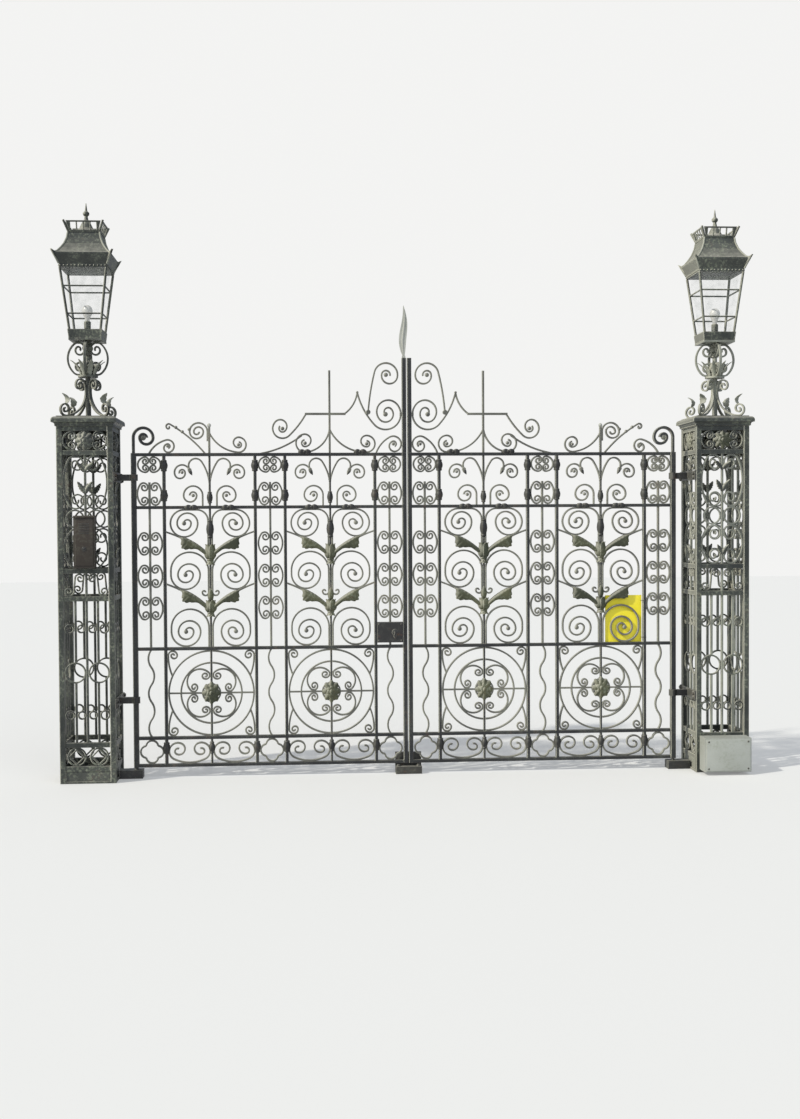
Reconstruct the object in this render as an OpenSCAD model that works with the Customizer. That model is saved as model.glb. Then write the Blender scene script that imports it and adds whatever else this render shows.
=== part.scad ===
// Pair of wrought iron driveway gates hung between two openwork iron piers with lanterns.
// X runs along the gateway, Y through it (drive side negative), Z up.
// The origin is the centre of the underside of the left pier.

/* [Gateway] */
// Clear width between the two piers
opening_w = 3685; // [3635:10:3835]
// Pier face to the axis of the hinge stile
hinge_gap = 105.5; // [98:0.5:115]
// Gap between the two meeting stiles
meet_gap = 6; // [5:0.5:10]

/* [Leaf] */
// Width of a narrow bay, centre to centre of its stiles
narrow_w = 190; // [186:1:196]
// Width of the hinge stile
hinge_stile_w = 32; // [28:1:36]
// Width of the meeting stile
meet_stile_w = 28; // [24:1:32]
// Width of the bay stiles and height of the rails
stile_w = 20; // [18:1:24]
// Depth of the bay stiles and rails, front to back
frame_d = 26; // [22:1:28]
// Width and depth of the upright bars
bar_w = 14; // [12:1:16]
// Centre height of the bottom rail
rail_1 = 75; // [70:1:80]
// Centre height of the rail over the foot band
rail_2 = 250; // [246:1:256]
// Centre height of the rail over the circle panel
rail_3 = 820; // [816:1:824]
// Centre height of the rail under the top band
rail_4 = 1720; // [1716:1:1724]
// Centre height of the top rail
rail_5 = 2055; // [2050:1:2065]
// Height of the top of the meeting stiles
meet_top = 2670; // [2660:1:2700]

/* [Scrollwork] */
// Thickness of the leaves' scroll bars as seen from the front
scroll_t = 11; // [9:0.5:12]
// Depth of the leaves' scroll bars, front to back
scroll_d = 16; // [12:1:20]
// Thickness of the piers' scroll bars
pier_scroll_t = 10; // [8:0.5:11]
// Depth of the piers' scroll bars
pier_scroll_d = 12; // [10:1:16]
// Depth of the lighter scrolls that are welded to a ring or a heavier scroll
thin_d = 14; // [10:0.5:15]
// Depth of the cresting's spikes and their cross bars
deep_d = 18; // [17:1:22]

/* [Piers] */
// Width and depth of a pier
pier_w = 345; // [335:1:360]
// Width of a pier's corner posts
post_w = 34; // [32:1:38]
// Height of the pier up to its cap
pier_h = 2225; // [2215:1:2240]
// Thickness of the base plate
base_t = 12; // [8:1:16]
// Width of the moulded cap
cap_w = 400; // [390:1:420]
// Height of the moulded cap
cap_h = 64; // [60:1:70]

/* [Lantern] */
// Height of the flared pedestal
pedestal_h = 265; // [255:1:280]
// Height of the scrolled stem
stem_h = 225; // [215:1:240]
// Height of the glazed body
lantern_h = 430; // [410:1:450]
// Half width of the body at its foot
lantern_foot = 90; // [86:1:94]
// Half width of the body at its top
lantern_head = 142; // [136:1:148]

/* [Hidden] */
$fn = 48;
// Section of the bars that the scroll modules draw, set again by each sub-part
$t = scroll_t;
$d = scroll_d;

// Leaf layout, as distances from the gateway's centre line
meet_x = meet_gap / 2 + meet_stile_w / 2;
hinge_x = opening_w / 2 - hinge_gap;
wide_w = (hinge_x - meet_x - 3 * narrow_w) / 2;
stile_steps = [narrow_w, wide_w, narrow_w, wide_w];
stile_x = [for (i = 0, x = meet_x + narrow_w; i < 4; i = i + 1, x = x + (i < 4 ? stile_steps[i] : 0)) x];
narrow_x = [
    (meet_x + meet_stile_w / 2 + stile_x[0] - stile_w / 2) / 2,
    (stile_x[1] + stile_x[2]) / 2,
    (stile_x[3] + stile_w / 2 + hinge_x - hinge_stile_w / 2) / 2
];
wide_x = [stile_x[0] + wide_w / 2, stile_x[2] + wide_w / 2];
rails = [rail_1, rail_2, rail_3, rail_4, rail_5];
wide_half = (wide_w - stile_w) / 2;
narrow_half = (narrow_w - stile_w / 2 - hinge_stile_w / 2) / 2;
leaf_foot = rail_1 - stile_w / 2;
leaf_top = rail_5 + stile_w / 2;
bar_half = bar_w / 2;

// How far two welded pieces of one sub-part run into each other
weld = 1.5;
gate_x = (opening_w + pier_w) / 2;
right_x = opening_w + pier_w;

// Hinge stile's round journals, the collars about them and the foot pivot
hook_r = 62;
hook_t = 18;
hook_z = 2163;
journal_r = 13;
journal_clear = 0.05;
journal_h = 42;
collar_r = 26;
collar_h = 40;
collar_z = [495, 1910];
pivot_r = 11;
pivot_foot = 20;
shoe_h = 52;
strap_t = 10;

// Pier levels
pier_face = pier_w / 2;
pier_clear = pier_w / 2 - post_w;
face_y = -pier_face + post_w / 2;
ring_h = 30;
ring_set = 4;
plinth_h = 76;
rings = [plinth_h, 224, 1137, 1310, 2045, pier_h - ring_h];
wide_ring_z = 690;
pedestal_z = pier_h + cap_h;
stem_z = pedestal_z + pedestal_h;
lantern_z = stem_z + stem_h;
crown_z = lantern_z + lantern_h;

function bearing(v) = atan2(v[1], v[0]);
function positive(a) = a < 0 ? a + 360 : a;
function polar(r, a) = [r * cos(a), r * sin(a)];

// The turn from one bearing to another, anticlockwise for way 1 and clockwise for way -1
function sweep(from, to, way) = way * positive(way * (to - from));

// The point at distance a from p and b from q, to the left of the line for side 1
function apart(p, q, a, b, side) =
    let (gap = norm(q - p), u = (q - p) / gap, along = (a * a - b * b + gap * gap) / (2 * gap))
    p + along * u + side * sqrt(a * a - along * along) * [-u[1], u[0]];

// Bars are drawn lying in XY, $t thick and $d deep, and stood up afterwards
module upright() {
    rotate([90, 0, 0]) children();
}

module slab(x0, y0, x1, y1, depth = $d) {
    translate([x0, y0, -depth / 2]) cube([x1 - x0, y1 - y0, depth]);
}

// A bar bent about the origin, from one bearing through a turn
module bend(r, from, turn) {
    rotate(from) rotate_extrude(angle = turn) translate([r - $t / 2, -$d / 2]) square([$t, $d]);
}

module ring(r) {
    difference() {
        cylinder(h = $d, r = r + $t / 2, center = true);
        cylinder(h = $d + 2, r = r - $t / 2, center = true);
    }
}

// Turns a piece over so that it winds the other way
module wound(way) {
    mirror([0, way < 0 ? 1 : 0, 0]) children();
}

// A volute of half turns that leaves [r, 0] and winds in anticlockwise about the origin
module volute(r, halves = 3, step = 0) {
    in = step > 0 ? step : round(0.96 * r / halves);
    bend(r, 0, 180);
    if (halves > 1) translate([-in, 0, 0]) rotate(180) volute(r - in, halves - 1, in);
}

// A bar from p that bends on a big radius into a volute of radius r about the eye e
module hook(p, e, r, big, way = 1, halves = 3) {
    o = apart(p, e, big, big - r, way);
    translate(o) rotate(bearing(e - o)) {
        bend(big, 0, -sweep(bearing(p - o), bearing(e - o), way));
        translate([big - r, 0, 0]) wound(way) volute(r, halves);
    }
}

// A C-scroll: two volutes about the eyes e and f, joined by a back of radius big
module c_scroll(e, f, r, s, big, way = 1, halves = 3) {
    o = apart(e, f, big - r, big - s, way);
    translate(o) {
        rotate(bearing(f - o)) {
            bend(big, 0, -sweep(bearing(e - o), bearing(f - o), way));
            translate([big - s, 0, 0]) wound(way) volute(s, halves);
        }
        rotate(bearing(e - o)) translate([big - r, 0, 0]) wound(-way) volute(r, halves);
    }
}

// A C-scroll of equal volutes whose back reaches b from the line between the eyes
module bow(e, f, r, b, way = 1, halves = 3) {
    half = norm(f - e) / 2;
    c_scroll(e, f, r, r, (half * half + (b - r) * (b - r)) / (2 * (b - r)) + r, way, halves);
}

// An S-scroll: two equal volutes that wind opposite ways, joined by a straight bar
module s_scroll(e, f, r, way = 1, halves = 3) {
    half = norm(f - e) / 2;
    straight = sqrt(half * half - r * r);
    for (ends = [[e, f], [f, e]]) {
        translate(ends[0]) rotate(bearing(ends[1] - ends[0]) + way * atan2(straight, r)) wound(way) {
            volute(r, halves);
            slab(r - $t / 2, -straight, r + $t / 2, 0);
        }
    }
}

// A plain bar bent on one radius from p to q
module arc_bar(p, q, big, way = 1) {
    o = apart(p, q, big, big, way);
    translate(o) bend(big, bearing(p - o), sweep(bearing(p - o), bearing(q - o), way));
}

// Both sides of the line x = 0
module pair() {
    children();
    mirror([1, 0, 0]) children();
}

module four() {
    pair() children();
    mirror([0, 1, 0]) pair() children();
}

// Cuts pieces off where an upright bar through x = 0 passes
module beside_bar(z0, z1, half = bar_half) {
    difference() {
        union() children();
        slab(-half, z0, half, z1, 60);
    }
}

// Collar shrunk about an upright bar at x = 0
module collar(z, w = 28, h = 16, d = 26) {
    difference() {
        slab(-w / 2, z - h / 2, w / 2, z + h / 2, d);
        slab(-bar_half, z - h, bar_half, z + h, bar_w);
    }
}

module right_leaf() {
    translate([gate_x, 0, 0]) children();
}

module left_leaf() {
    translate([gate_x, 0, 0]) mirror([1, 0, 0]) children();
}

module left_pier() {
    children();
}

module right_pier() {
    translate([right_x, 0, 0]) mirror([1, 0, 0]) children();
}

// The four faces of a pier, each drawn about its own centre line
module faces() {
    for (turn = [0:90:270]) rotate(turn) translate([0, face_y, 0]) upright() children();
}

// Leaf frame: stiles, rails and the centre bars of the wide panels, welded together
module leaf_frame() {
    color("#23262a") {
        difference() {
            upright() {
                for (z = rails) slab(meet_x, z - stile_w / 2, hinge_x, z + stile_w / 2, frame_d);
                for (x = stile_x) slab(x - stile_w / 2, rail_1, x + stile_w / 2, rail_5, frame_d);
                for (x = wide_x) slab(x - bar_half, rail_1, x + bar_half, rail_5, bar_w);
                slab(meet_x - meet_stile_w / 2, leaf_foot, meet_x + meet_stile_w / 2, leaf_top, meet_stile_w);
                slab(hinge_x - hinge_stile_w / 2, leaf_foot, hinge_x + hinge_stile_w / 2, leaf_top,
                    hinge_stile_w);
            }
            for (z = collar_z) translate([hinge_x, 0, z - journal_h / 2]) {
                cylinder(h = journal_h, r = hinge_stile_w);
            }
        }
        for (z = collar_z) translate([hinge_x, 0, z - journal_h / 2]) cylinder(h = journal_h, r = journal_r);
        translate([hinge_x, 0, pivot_foot]) cylinder(h = leaf_foot - pivot_foot, r = pivot_r);
    }
}

// Foot band: C-scrolls lying on their backs in the wide panels, quatrefoils in the narrow bays
module foot_scrolls() {
    z = (rail_1 + rail_2) / 2;
    r = 55;
    pair() bow([bar_half + r + $t / 2, z], [wide_half - r - $t / 2, z], r, (rail_2 - rail_1 - stile_w - $t) / 2);
}

module foot_quatrefoil() {
    r = 38;
    reach = (rail_2 - rail_1 - stile_w - $t) / 2 - r;
    cusp = 135 - acos(reach * sqrt(2) / 2 / r);
    translate([0, (rail_1 + rail_2) / 2, 0]) {
        for (turn = [0:90:270]) rotate(turn) translate([reach, 0, 0]) bend(r, -cusp, 2 * cusp);
    }
}

module leaf_foot_band() {
    color("#2a2d30") upright() {
        for (x = wide_x) translate([x, 0, 0]) foot_scrolls();
        for (x = narrow_x) translate([x, 0, 0]) foot_quatrefoil();
    }
}

// Circle panel: three rings crossed by bars, C-scrolls in the quarters, volutes in the corners
module circle_panel() {
    outer = (rail_3 - rail_2 - stile_w - $t) / 2;
    inner = 193;
    hub = 56;
    spoke = 10;
    quarter = 25;
    near = quarter + $t / 2 - weld;
    far = 114;
    axis = (far + near + (bar_w + spoke) / 4) / sqrt(2);
    corner = 28;
    beside_bar(-outer - $t, outer + $t) {
        for (r = [outer, inner, hub]) ring(r);
        pair() slab(hub, -spoke / 2, outer, spoke / 2);
        four() bow([far, spoke / 2 + near], [bar_half + near, far], quarter, inner - $t - axis + weld);
        four() hook(polar(outer, 24), [wide_half - corner - $t / 2, outer - corner], corner, 320, $d = thin_d);
    }
}

module leaf_circles() {
    color("#2a2d30") upright() for (x = wide_x) translate([x, (rail_2 + rail_3) / 2, 0]) circle_panel();
}

// Middle panel: three tiers of volutes that arch over from the centre bar, and two branches
leg_x = bar_half + scroll_t / 2;
arch_x = 250;

// The arch of a tier and the volute on its outer side; its leg is drawn down to foot
module arched_volute(foot, z, top, r) {
    half = (arch_x - leg_x) / 2;
    spring = top - $t / 2 - half;
    slab(leg_x - $t / 2, foot, leg_x + $t / 2, spring);
    translate([leg_x + half, spring, 0]) bend(half, 0, 180);
    slab(arch_x - $t / 2, z, arch_x + $t / 2, spring);
    translate([arch_x - r, z, 0]) wound(-1) volute(r, 4);
}

// The top tier's arch is flattened under the rail
module flat_volute(foot, top, r) {
    z = top - $t / 2 - r;
    q = 70;
    slab(leg_x - $t / 2, foot, leg_x + $t / 2, z + r - q);
    translate([leg_x + q, z + r - q, 0]) bend(q, 90, 90);
    slab(leg_x + q, z + r - $t / 2, arch_x - r, z + r + $t / 2);
    translate([arch_x - r, z, 0]) {
        bend(r, 0, 90);
        wound(-1) volute(r, 4);
    }
}

module branch(root, end) {
    intersection() {
        arc_bar([0, root], [wide_half + 6, end], 800, -1, $d = deep_d);
        slab(0, rail_3, wide_half, rail_4, 60);
    }
}

module middle_panel() {
    r = 92;
    top_r = 86;
    // The middle tier's leg ends in a small curl off the bar
    curl = 20;
    curl_z = 1178;
    low_root = 1062;
    high_root = 1405;
    rise = [172, 161];
    beside_bar(rail_3, rail_4) pair() {
        flat_volute(high_root + 11, rail_4 - stile_w / 2, top_r);
        arched_volute(curl_z, 1290, high_root + 35, r);
        translate([leg_x + curl, curl_z, 0]) rotate(180) volute(curl, 2);
        arched_volute(rail_3 + stile_w / 2, rail_3 + (stile_w + $t) / 2 + r, low_root + 15, r);
        branch(low_root, low_root + rise[0]);
        branch(high_root, high_root + rise[1]);
    }
    for (z = [low_root, high_root, 1580]) collar(z);
}

module leaf_middle() {
    color("#2a2d30") upright() for (x = wide_x) translate([x, 0, 0]) middle_panel();
}

// Top band: a volute on the rail either side of the bar, and an arch that ends in a bud and a volute
module top_panel() {
    rail_r = 60;
    rail_x = 105;
    rail_z = rail_4 + (stile_w + $t) / 2 + rail_r;
    arch = [87, 1985];
    bud = [126, 1958];
    eye = [173, 1942];
    beside_bar(rail_4, rail_5) pair() {
        slab(rail_x - rail_r - $t / 2, rail_4 + stile_w / 2, rail_x - rail_r + $t / 2, rail_z);
        translate([rail_x, rail_z, 0]) rotate(180) wound(-1) volute(rail_r);
        hook([0, 1860], arch, 45, 300, -1, 1);
        translate([bud[0], bud[1], 0]) cylinder(h = deep_d + 4, r = 12, center = true);
        translate([eye[0], eye[1], 0]) rotate(160) wound(-1) volute(48, $d = thin_d);
    }
    collar(1773);
}

module leaf_top_band() {
    color("#2a2d30") upright() for (x = wide_x) translate([x, 0, 0]) top_panel();
}

// Narrow bays: a waved bar below, a straight bar with small C-scrolls above
module waved_bar(z0, z1, waves, swing) {
    step = (z1 - z0) / waves;
    r = (step * step / 4 + swing * swing) / (2 * swing);
    half = asin(step / 2 / r);
    for (i = [0:waves - 1]) {
        side = i % 2 == 0 ? 1 : -1;
        translate([-side * (r - swing), z0 + step * (i + 0.5), 0]) {
            bend(r, (side > 0 ? 0 : 180) - half, 2 * half);
        }
    }
}

module narrow_bay() {
    r = 26;
    eye = bar_half + r + $t / 2 - weld;
    back = narrow_half - $t / 2 - eye;
    head_r = 22;
    head_z = rail_5 - stile_w / 2 - head_r - $t / 2;
    intersection() {
        waved_bar(rail_2 + stile_w / 2 - 3, rail_3 - stile_w / 2 + 3, 5, 18);
        slab(-narrow_half, rail_2 + stile_w / 2, narrow_half, rail_3 - stile_w / 2, 60);
    }
    slab(-bar_half, rail_3 + stile_w / 2, bar_half, rail_4 - stile_w / 2);
    slab(-bar_half, rail_4 + stile_w / 2, bar_half, rail_4 + 160);
    for (z = [1078, 1283, 1490, rail_4 + 86]) pair() bow([eye, z - 44], [eye, z + 44], r, back);
    head_x = head_r + $t / 2 - weld;
    pair() bow([head_x, head_z - 52], [head_x, head_z], head_r, narrow_half - $t / 2 - head_x);
}

module leaf_narrow() {
    color("#2a2d30") upright() for (x = narrow_x) translate([x, 0, 0]) narrow_bay();
}

// Cresting: volutes that climb from the hinge stile to the meeting stile
module off_frame() {
    intersection() {
        union() children();
        slab(meet_x + meet_stile_w / 2, leaf_top, hinge_x, meet_top, 60);
    }
}

module leaf_cresting() {
    post = meet_x + meet_stile_w / 2;
    inner = wide_x[0];
    outer = wide_x[1];
    // Spiral against the meeting post, its peak, and the curl that climbs from its side
    spiral = [post + 105, 2311];
    spiral_r = 98;
    peak = [spiral[0] + 180, 2450];
    curl = [post + 101, 2563];
    curl_r = 75;
    curl_foot = [post + 216, 2324];
    // Tall and short spikes, and the bar that crosses the tall one
    tall_top = 2590;
    short_top = 2230;
    cross_z = 2313;
    cross = [inner - 95, inner + 150];
    cross_lap = 8;
    // Radii of the volutes that stand on the top rail
    post_r = 50;
    left_r = 53;
    right_r = 57.5;
    short_r = 48;
    hinge_r = 40;
    // Volutes hung from the cross bar and beside the short spike
    hung_r = 62;
    side_r = 56;
    side_x = outer + bar_half + $t / 2 - weld;
    side_z = 2200;
    // How far the tails that end on the rail are drawn into it before they are cut flush
    sunk = 4;
    color("#2a2d30") upright() {
        hook(curl_foot, curl, curl_r, 1500, 1, $d = thin_d);
        translate([curl_foot[0], curl_foot[1], 0]) cylinder(h = deep_d + 4, r = 15, center = true);
        hook(peak, spiral, spiral_r, 460, -1, 4);
        slab(post, spiral[1] - 10, post + 14, spiral[1] + 10, deep_d + 2);
        arc_bar([cross[0], cross_z], peak, 200, -1, $d = thin_d);
        translate([peak[0], peak[1], 0]) cylinder(h = deep_d, r = 8, center = true);
        slab(inner - bar_half, leaf_top, inner + bar_half, tall_top, deep_d);
        slab(cross[0] - cross_lap, cross_z - bar_half, cross[1] + cross_lap, cross_z + bar_half, deep_d);
        hook([cross[1], cross_z], [795, 2220], hung_r, 600, 1, $d = thin_d);
        off_frame() {
            hook([198, leaf_top - sunk], [post + post_r + $t / 2, leaf_top + post_r + $t / 2], post_r, 190);
            hook([inner, 2215], [258, leaf_top + left_r + $t / 2 - weld], left_r, 250, -1);
            hook([inner, 2225], [652, leaf_top + right_r + $t / 2 - weld], right_r, 170);
            arc_bar([672, 2176], [935, leaf_top - sunk], 600, 1, $d = thin_d);
        }
        slab(outer - bar_half, leaf_top, outer + bar_half, short_top, deep_d);
        slab(side_x - $t / 2, side_z - 60, side_x + $t / 2, side_z);
        translate([side_x + side_r, side_z, 0]) rotate(180) wound(-1) volute(side_r, 4);
        off_frame() {
            hook([outer, 2195], [1075, leaf_top + short_r + $t / 2 - weld], short_r, 220, -1);
            hook([1286, leaf_top - sunk], [1514, 2234], 16, 800, -1, 2, $d = thin_d);
            hook([1640, leaf_top - sunk], [1522, leaf_top + hinge_r + $t / 2 - weld], hinge_r, 170);
        }
    }
}

// Upper lengths of the two end stiles: the tall meeting post and the hinge stile's curled head
module leaf_post() {
    color("#2a2d30") upright() {
        slab(meet_x - meet_stile_w / 2, leaf_top, meet_x + meet_stile_w / 2, meet_top, meet_stile_w);
        slab(hinge_x - hook_t / 2, leaf_top, hinge_x + hook_t / 2, hook_z, 20);
        translate([hinge_x - hook_r, hook_z, 0]) volute(hook_r, 3, $t = hook_t, $d = 20);
    }
}

// Lock case across the inner narrow bay
module lock() {
    color("#1f2124") left_leaf() upright() difference() {
        slab(meet_x + meet_stile_w / 2, 846, stile_x[0] - stile_w / 2, 976, 48);
        slab(narrow_x[0] - bar_half, 800, narrow_x[0] + bar_half, 1000);
    }
}

// Flame finial on the left meeting post: a flat leaf that sways to a point
module finial() {
    size = 320;
    steps = 12;
    swell = [for (i = [0:steps]) let (f = i / steps) 6 + 20 * sin(180 * pow(f, 0.8)) - 5 * f];
    sway = [for (i = [0:steps]) 7 * sin(360 * i / steps)];
    color("#8d9088") left_leaf() upright() translate([meet_x, meet_top, 0]) {
        slab(-11, 0, 11, 14, 22);
        translate([0, 14, -7]) linear_extrude(14) polygon(concat(
            [for (i = [0:steps]) [sway[i] + swell[i], size * i / steps]],
            [for (i = [steps:-1:0]) [sway[i] - swell[i], size * i / steps]]
        ));
    }
}

// Bare notice board tied behind the scrolls of the outer wide panel
module notice() {
    color("#e8d432") right_leaf() {
        translate([wide_x[1] + 32, deep_d / 2, rail_3 + stile_w / 2]) cube([240, 4, 305]);
    }
}

// Pier frame: base plate, corner posts and the rings of rails between them
module pier_frame() {
    post = pier_face - post_w / 2;
    anchor = 110;
    color("#2b2e30") difference() {
        union() {
            translate([-pier_face, -pier_face, 0]) cube([pier_w, pier_w, base_t]);
            for (x = [-post, post], y = [-post, post]) {
                translate([x - post_w / 2, y - post_w / 2, 0]) cube([post_w, post_w, pier_h]);
            }
            for (z = rings, turn = [0:90:270]) rotate(turn) {
                translate([-post, -pier_face + ring_set, z]) cube([2 * post, post_w - 2 * ring_set, ring_h]);
            }
        }
        for (x = [-anchor, anchor], y = [-anchor, anchor]) {
            translate([x, y, -1]) cylinder(h = base_t + 2, r = 9);
        }
    }
}

module pier_bars() {
    ring_out = (pier_clear - bar_half) / 2;
    color("#2b2e30") faces() {
        slab(-pier_clear, base_t, pier_clear, plinth_h, bar_w);
        slab(-bar_half, rings[1] + ring_h, bar_half, rings[2], bar_w);
        for (x = [-pier_clear / 2, pier_clear / 2]) {
            slab(x - bar_half, rings[1] + ring_h, x + bar_half, wide_ring_z - ring_out, bar_w);
            slab(x - bar_half, wide_ring_z + ring_out, x + bar_half, rings[2], bar_w);
        }
        for (i = [2, 3]) slab(-bar_half, rings[i] + ring_h, bar_half, rings[i + 1], bar_w);
    }
}

// Upper panel: a C-scroll, a ring and a taller C-scroll stacked either side of the bar
module pier_scrolls() {
    $t = pier_scroll_t;
    $d = pier_scroll_d;
    low_r = 46;
    high_r = 48;
    ring_r = 53;
    low = rings[3] + ring_h + low_r + $t / 2;
    middle = low + 150 + low_r + ring_r + $t;
    high = middle + ring_r + high_r + $t;
    eye = bar_half + $t / 2;
    back = pier_clear - bar_half - $t;
    color("#2b2e30") faces() pair() {
        bow([eye + low_r, low], [eye + low_r, low + 150], low_r, back - low_r);
        translate([eye + ring_r, middle, 0]) ring(ring_r);
        bow([eye + high_r, high], [eye + high_r, rings[4] - high_r - $t / 2], high_r, back - high_r);
    }
}

// Bands: diamonds in rings at the foot, rings between the bars, S-scrolls and a rosette frieze
module gap_ring(x0, x1, z) {
    translate([(x0 + x1) / 2, z, 0]) ring((x1 - x0 - $t) / 2);
}

module band_rings(z) {
    gap_ring(bar_half, pier_clear / 2 - bar_half, z);
    gap_ring(pier_clear / 2 + bar_half, pier_clear, z);
}

module diamond(r) {
    rotate(45) difference() {
        cube([r * sqrt(2), r * sqrt(2), $d], center = true);
        cube([r * sqrt(2) - 2 * $t, r * sqrt(2) - 2 * $t, $d + 2], center = true);
    }
}

module pier_bands() {
    $t = pier_scroll_t;
    $d = pier_scroll_d;
    foot_z = (rings[0] + ring_h + rings[1]) / 2;
    foot_r = (rings[1] - rings[0] - ring_h - $t) / 2;
    frieze_z = (rings[4] + ring_h + rings[5]) / 2;
    frieze_r = (rings[5] - rings[4] - ring_h - $t) / 2;
    s_r = 26;
    s_low = rings[2] + ring_h + s_r + $t / 2;
    s_high = rings[3] - s_r - $t / 2;
    corner_r = 23;
    corner_h = frieze_r - corner_r;
    corner_x = sqrt(pow(frieze_r + $t + corner_r - weld, 2) - corner_h * corner_h);
    color("#2b2e30") faces() {
        pair() {
            translate([pier_clear / 2, foot_z, 0]) {
                ring(foot_r);
                diamond(foot_r);
            }
            band_rings(425);
            gap_ring(bar_half, pier_clear, wide_ring_z);
            band_rings(965);
            s_scroll([bar_half + s_r + $t, s_high], [pier_clear - s_r - $t, s_low], s_r);
            bow([corner_x, frieze_z - corner_h], [corner_x, frieze_z + corner_h], corner_r,
                pier_clear - $t / 2 - corner_x);
        }
        translate([0, frieze_z, 0]) {
            ring(frieze_r);
            cylinder(h = 20, r = 22, center = true);
            for (turn = [0:45:315]) rotate(turn) slab(20, -$t / 2, frieze_r, $t / 2);
        }
    }
}

// Moulded cap: a cove under a flat edge, with a rounded shoulder above
module pier_cap() {
    half = cap_w / 2;
    step = 8;
    cove = half - 4 - pier_face - step;
    edge = step + cove;
    round_r = cap_h - edge - 14 - 6;
    side = concat(
        [[pier_face, 0], [pier_face + step, 0]],
        [for (a = [0:22.5:90]) [half - 4 - cove * cos(a), step + cove * sin(a)]],
        [[half, edge]],
        [for (a = [0:22.5:90]) [half - round_r + round_r * cos(a), edge + 14 + round_r * sin(a)]],
        [[pier_face, cap_h - 6], [pier_face, cap_h]]
    );
    color("#2b2e30") translate([0, 0, pier_h]) intersection_for(turn = [0, 90]) rotate(turn) upright() {
        linear_extrude(cap_w + 20, center = true) {
            polygon(concat(side, [for (i = [len(side) - 1:-1:0]) [-side[i][0], side[i][1]]]));
        }
    }
}

// Lantern pedestal: four flared scroll legs about a pipe
module pedestal() {
    $t = 10;
    collar_t = 12;
    foot_r = 36;
    color("#2b2e30") translate([0, 0, pedestal_z]) {
        cylinder(h = pedestal_h - collar_t, r = 17);
        for (turn = [45:90:315]) rotate(turn) upright() {
            c_scroll([172, foot_r + $t / 2], [58, 205], foot_r, 34, 160, -1);
        }
        translate([0, 0, pedestal_h - collar_t]) cylinder(h = collar_t, r = 62);
    }
}

// Lantern stem: four C-scrolls about a pipe, under the lantern's floor
module lantern_stem() {
    floor_t = 12;
    floor_half = lantern_foot + 12;
    pipe_r = 15;
    r = 40;
    eye = pipe_r + r + $t / 2 - 2;
    color("#2b2e30") translate([0, 0, stem_z]) {
        cylinder(h = stem_h - floor_t, r = pipe_r);
        for (turn = [0:90:270]) rotate(turn) upright() {
            bow([eye, r + $t / 2], [eye, stem_h - floor_t - r - $t / 2], r, 66);
        }
        translate([-floor_half, -floor_half, stem_h - floor_t]) cube([2 * floor_half, 2 * floor_half, floor_t]);
    }
}

// A round rod between two points
module rod(p, q, r) {
    v = q - p;
    translate(p) rotate([0, acos(v[2] / norm(v)), bearing(v)]) cylinder(h = norm(v), r = r);
}

// Lantern body: four leaning corner rods with two cross bars on each side
cross_r = 5;

module lantern_cage() {
    lean = (lantern_head - lantern_foot) / lantern_h;
    over = 10;
    reach = lantern_head + 20;
    foot = lantern_foot - lean * over;
    head = lantern_head + lean * over;
    color("#2b2e30") translate([0, 0, lantern_z]) intersection() {
        for (turn = [0:90:270]) rotate(turn) {
            rod([foot, foot, -over], [head, head, lantern_h + over], 8);
            for (z = [0.35 * lantern_h, 0.74 * lantern_h]) {
                half = lantern_foot + lean * z;
                rod([-half, -half, z], [half, -half, z], cross_r);
            }
        }
        translate([-reach, -reach, 0]) cube([2 * reach, 2 * reach, lantern_h]);
    }
}

module lantern_glass() {
    tilt = atan((lantern_head - lantern_foot) / lantern_h);
    slant = lantern_h / cos(tilt);
    glass_t = 3;
    rebate = 12;
    set_in = (cross_r + glass_t) / cos(tilt);
    foot = lantern_foot - set_in - rebate;
    head = lantern_head - set_in - rebate;
    color("#c8d4d0", 0.4) translate([0, 0, lantern_z]) for (turn = [0:90:270]) rotate(turn) {
        translate([0, set_in - lantern_foot, 0]) rotate([90 + tilt, 0, 0]) linear_extrude(glass_t) {
            polygon([[-foot, 2], [foot, 2], [head, slant - 2], [-head, slant - 2]]);
        }
    }
}

// One side of the roof's gallery: a leaning plate with slots between its bars
module fret(foot, head, h) {
    slots = 4;
    rail = 10;
    bar = 8;
    lean = atan((head - foot) / h);
    rise = h / cos(lean);
    pitch = (2 * foot - bar) / slots;
    rotate([90 + lean, 0, 0]) linear_extrude(6) difference() {
        polygon([[-foot, 0], [foot, 0], [head, rise], [-head, rise]]);
        for (i = [0:slots - 1]) {
            translate([-foot + bar + i * pitch, rail]) square([pitch - bar, rise - 2 * rail]);
        }
    }
}

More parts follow.
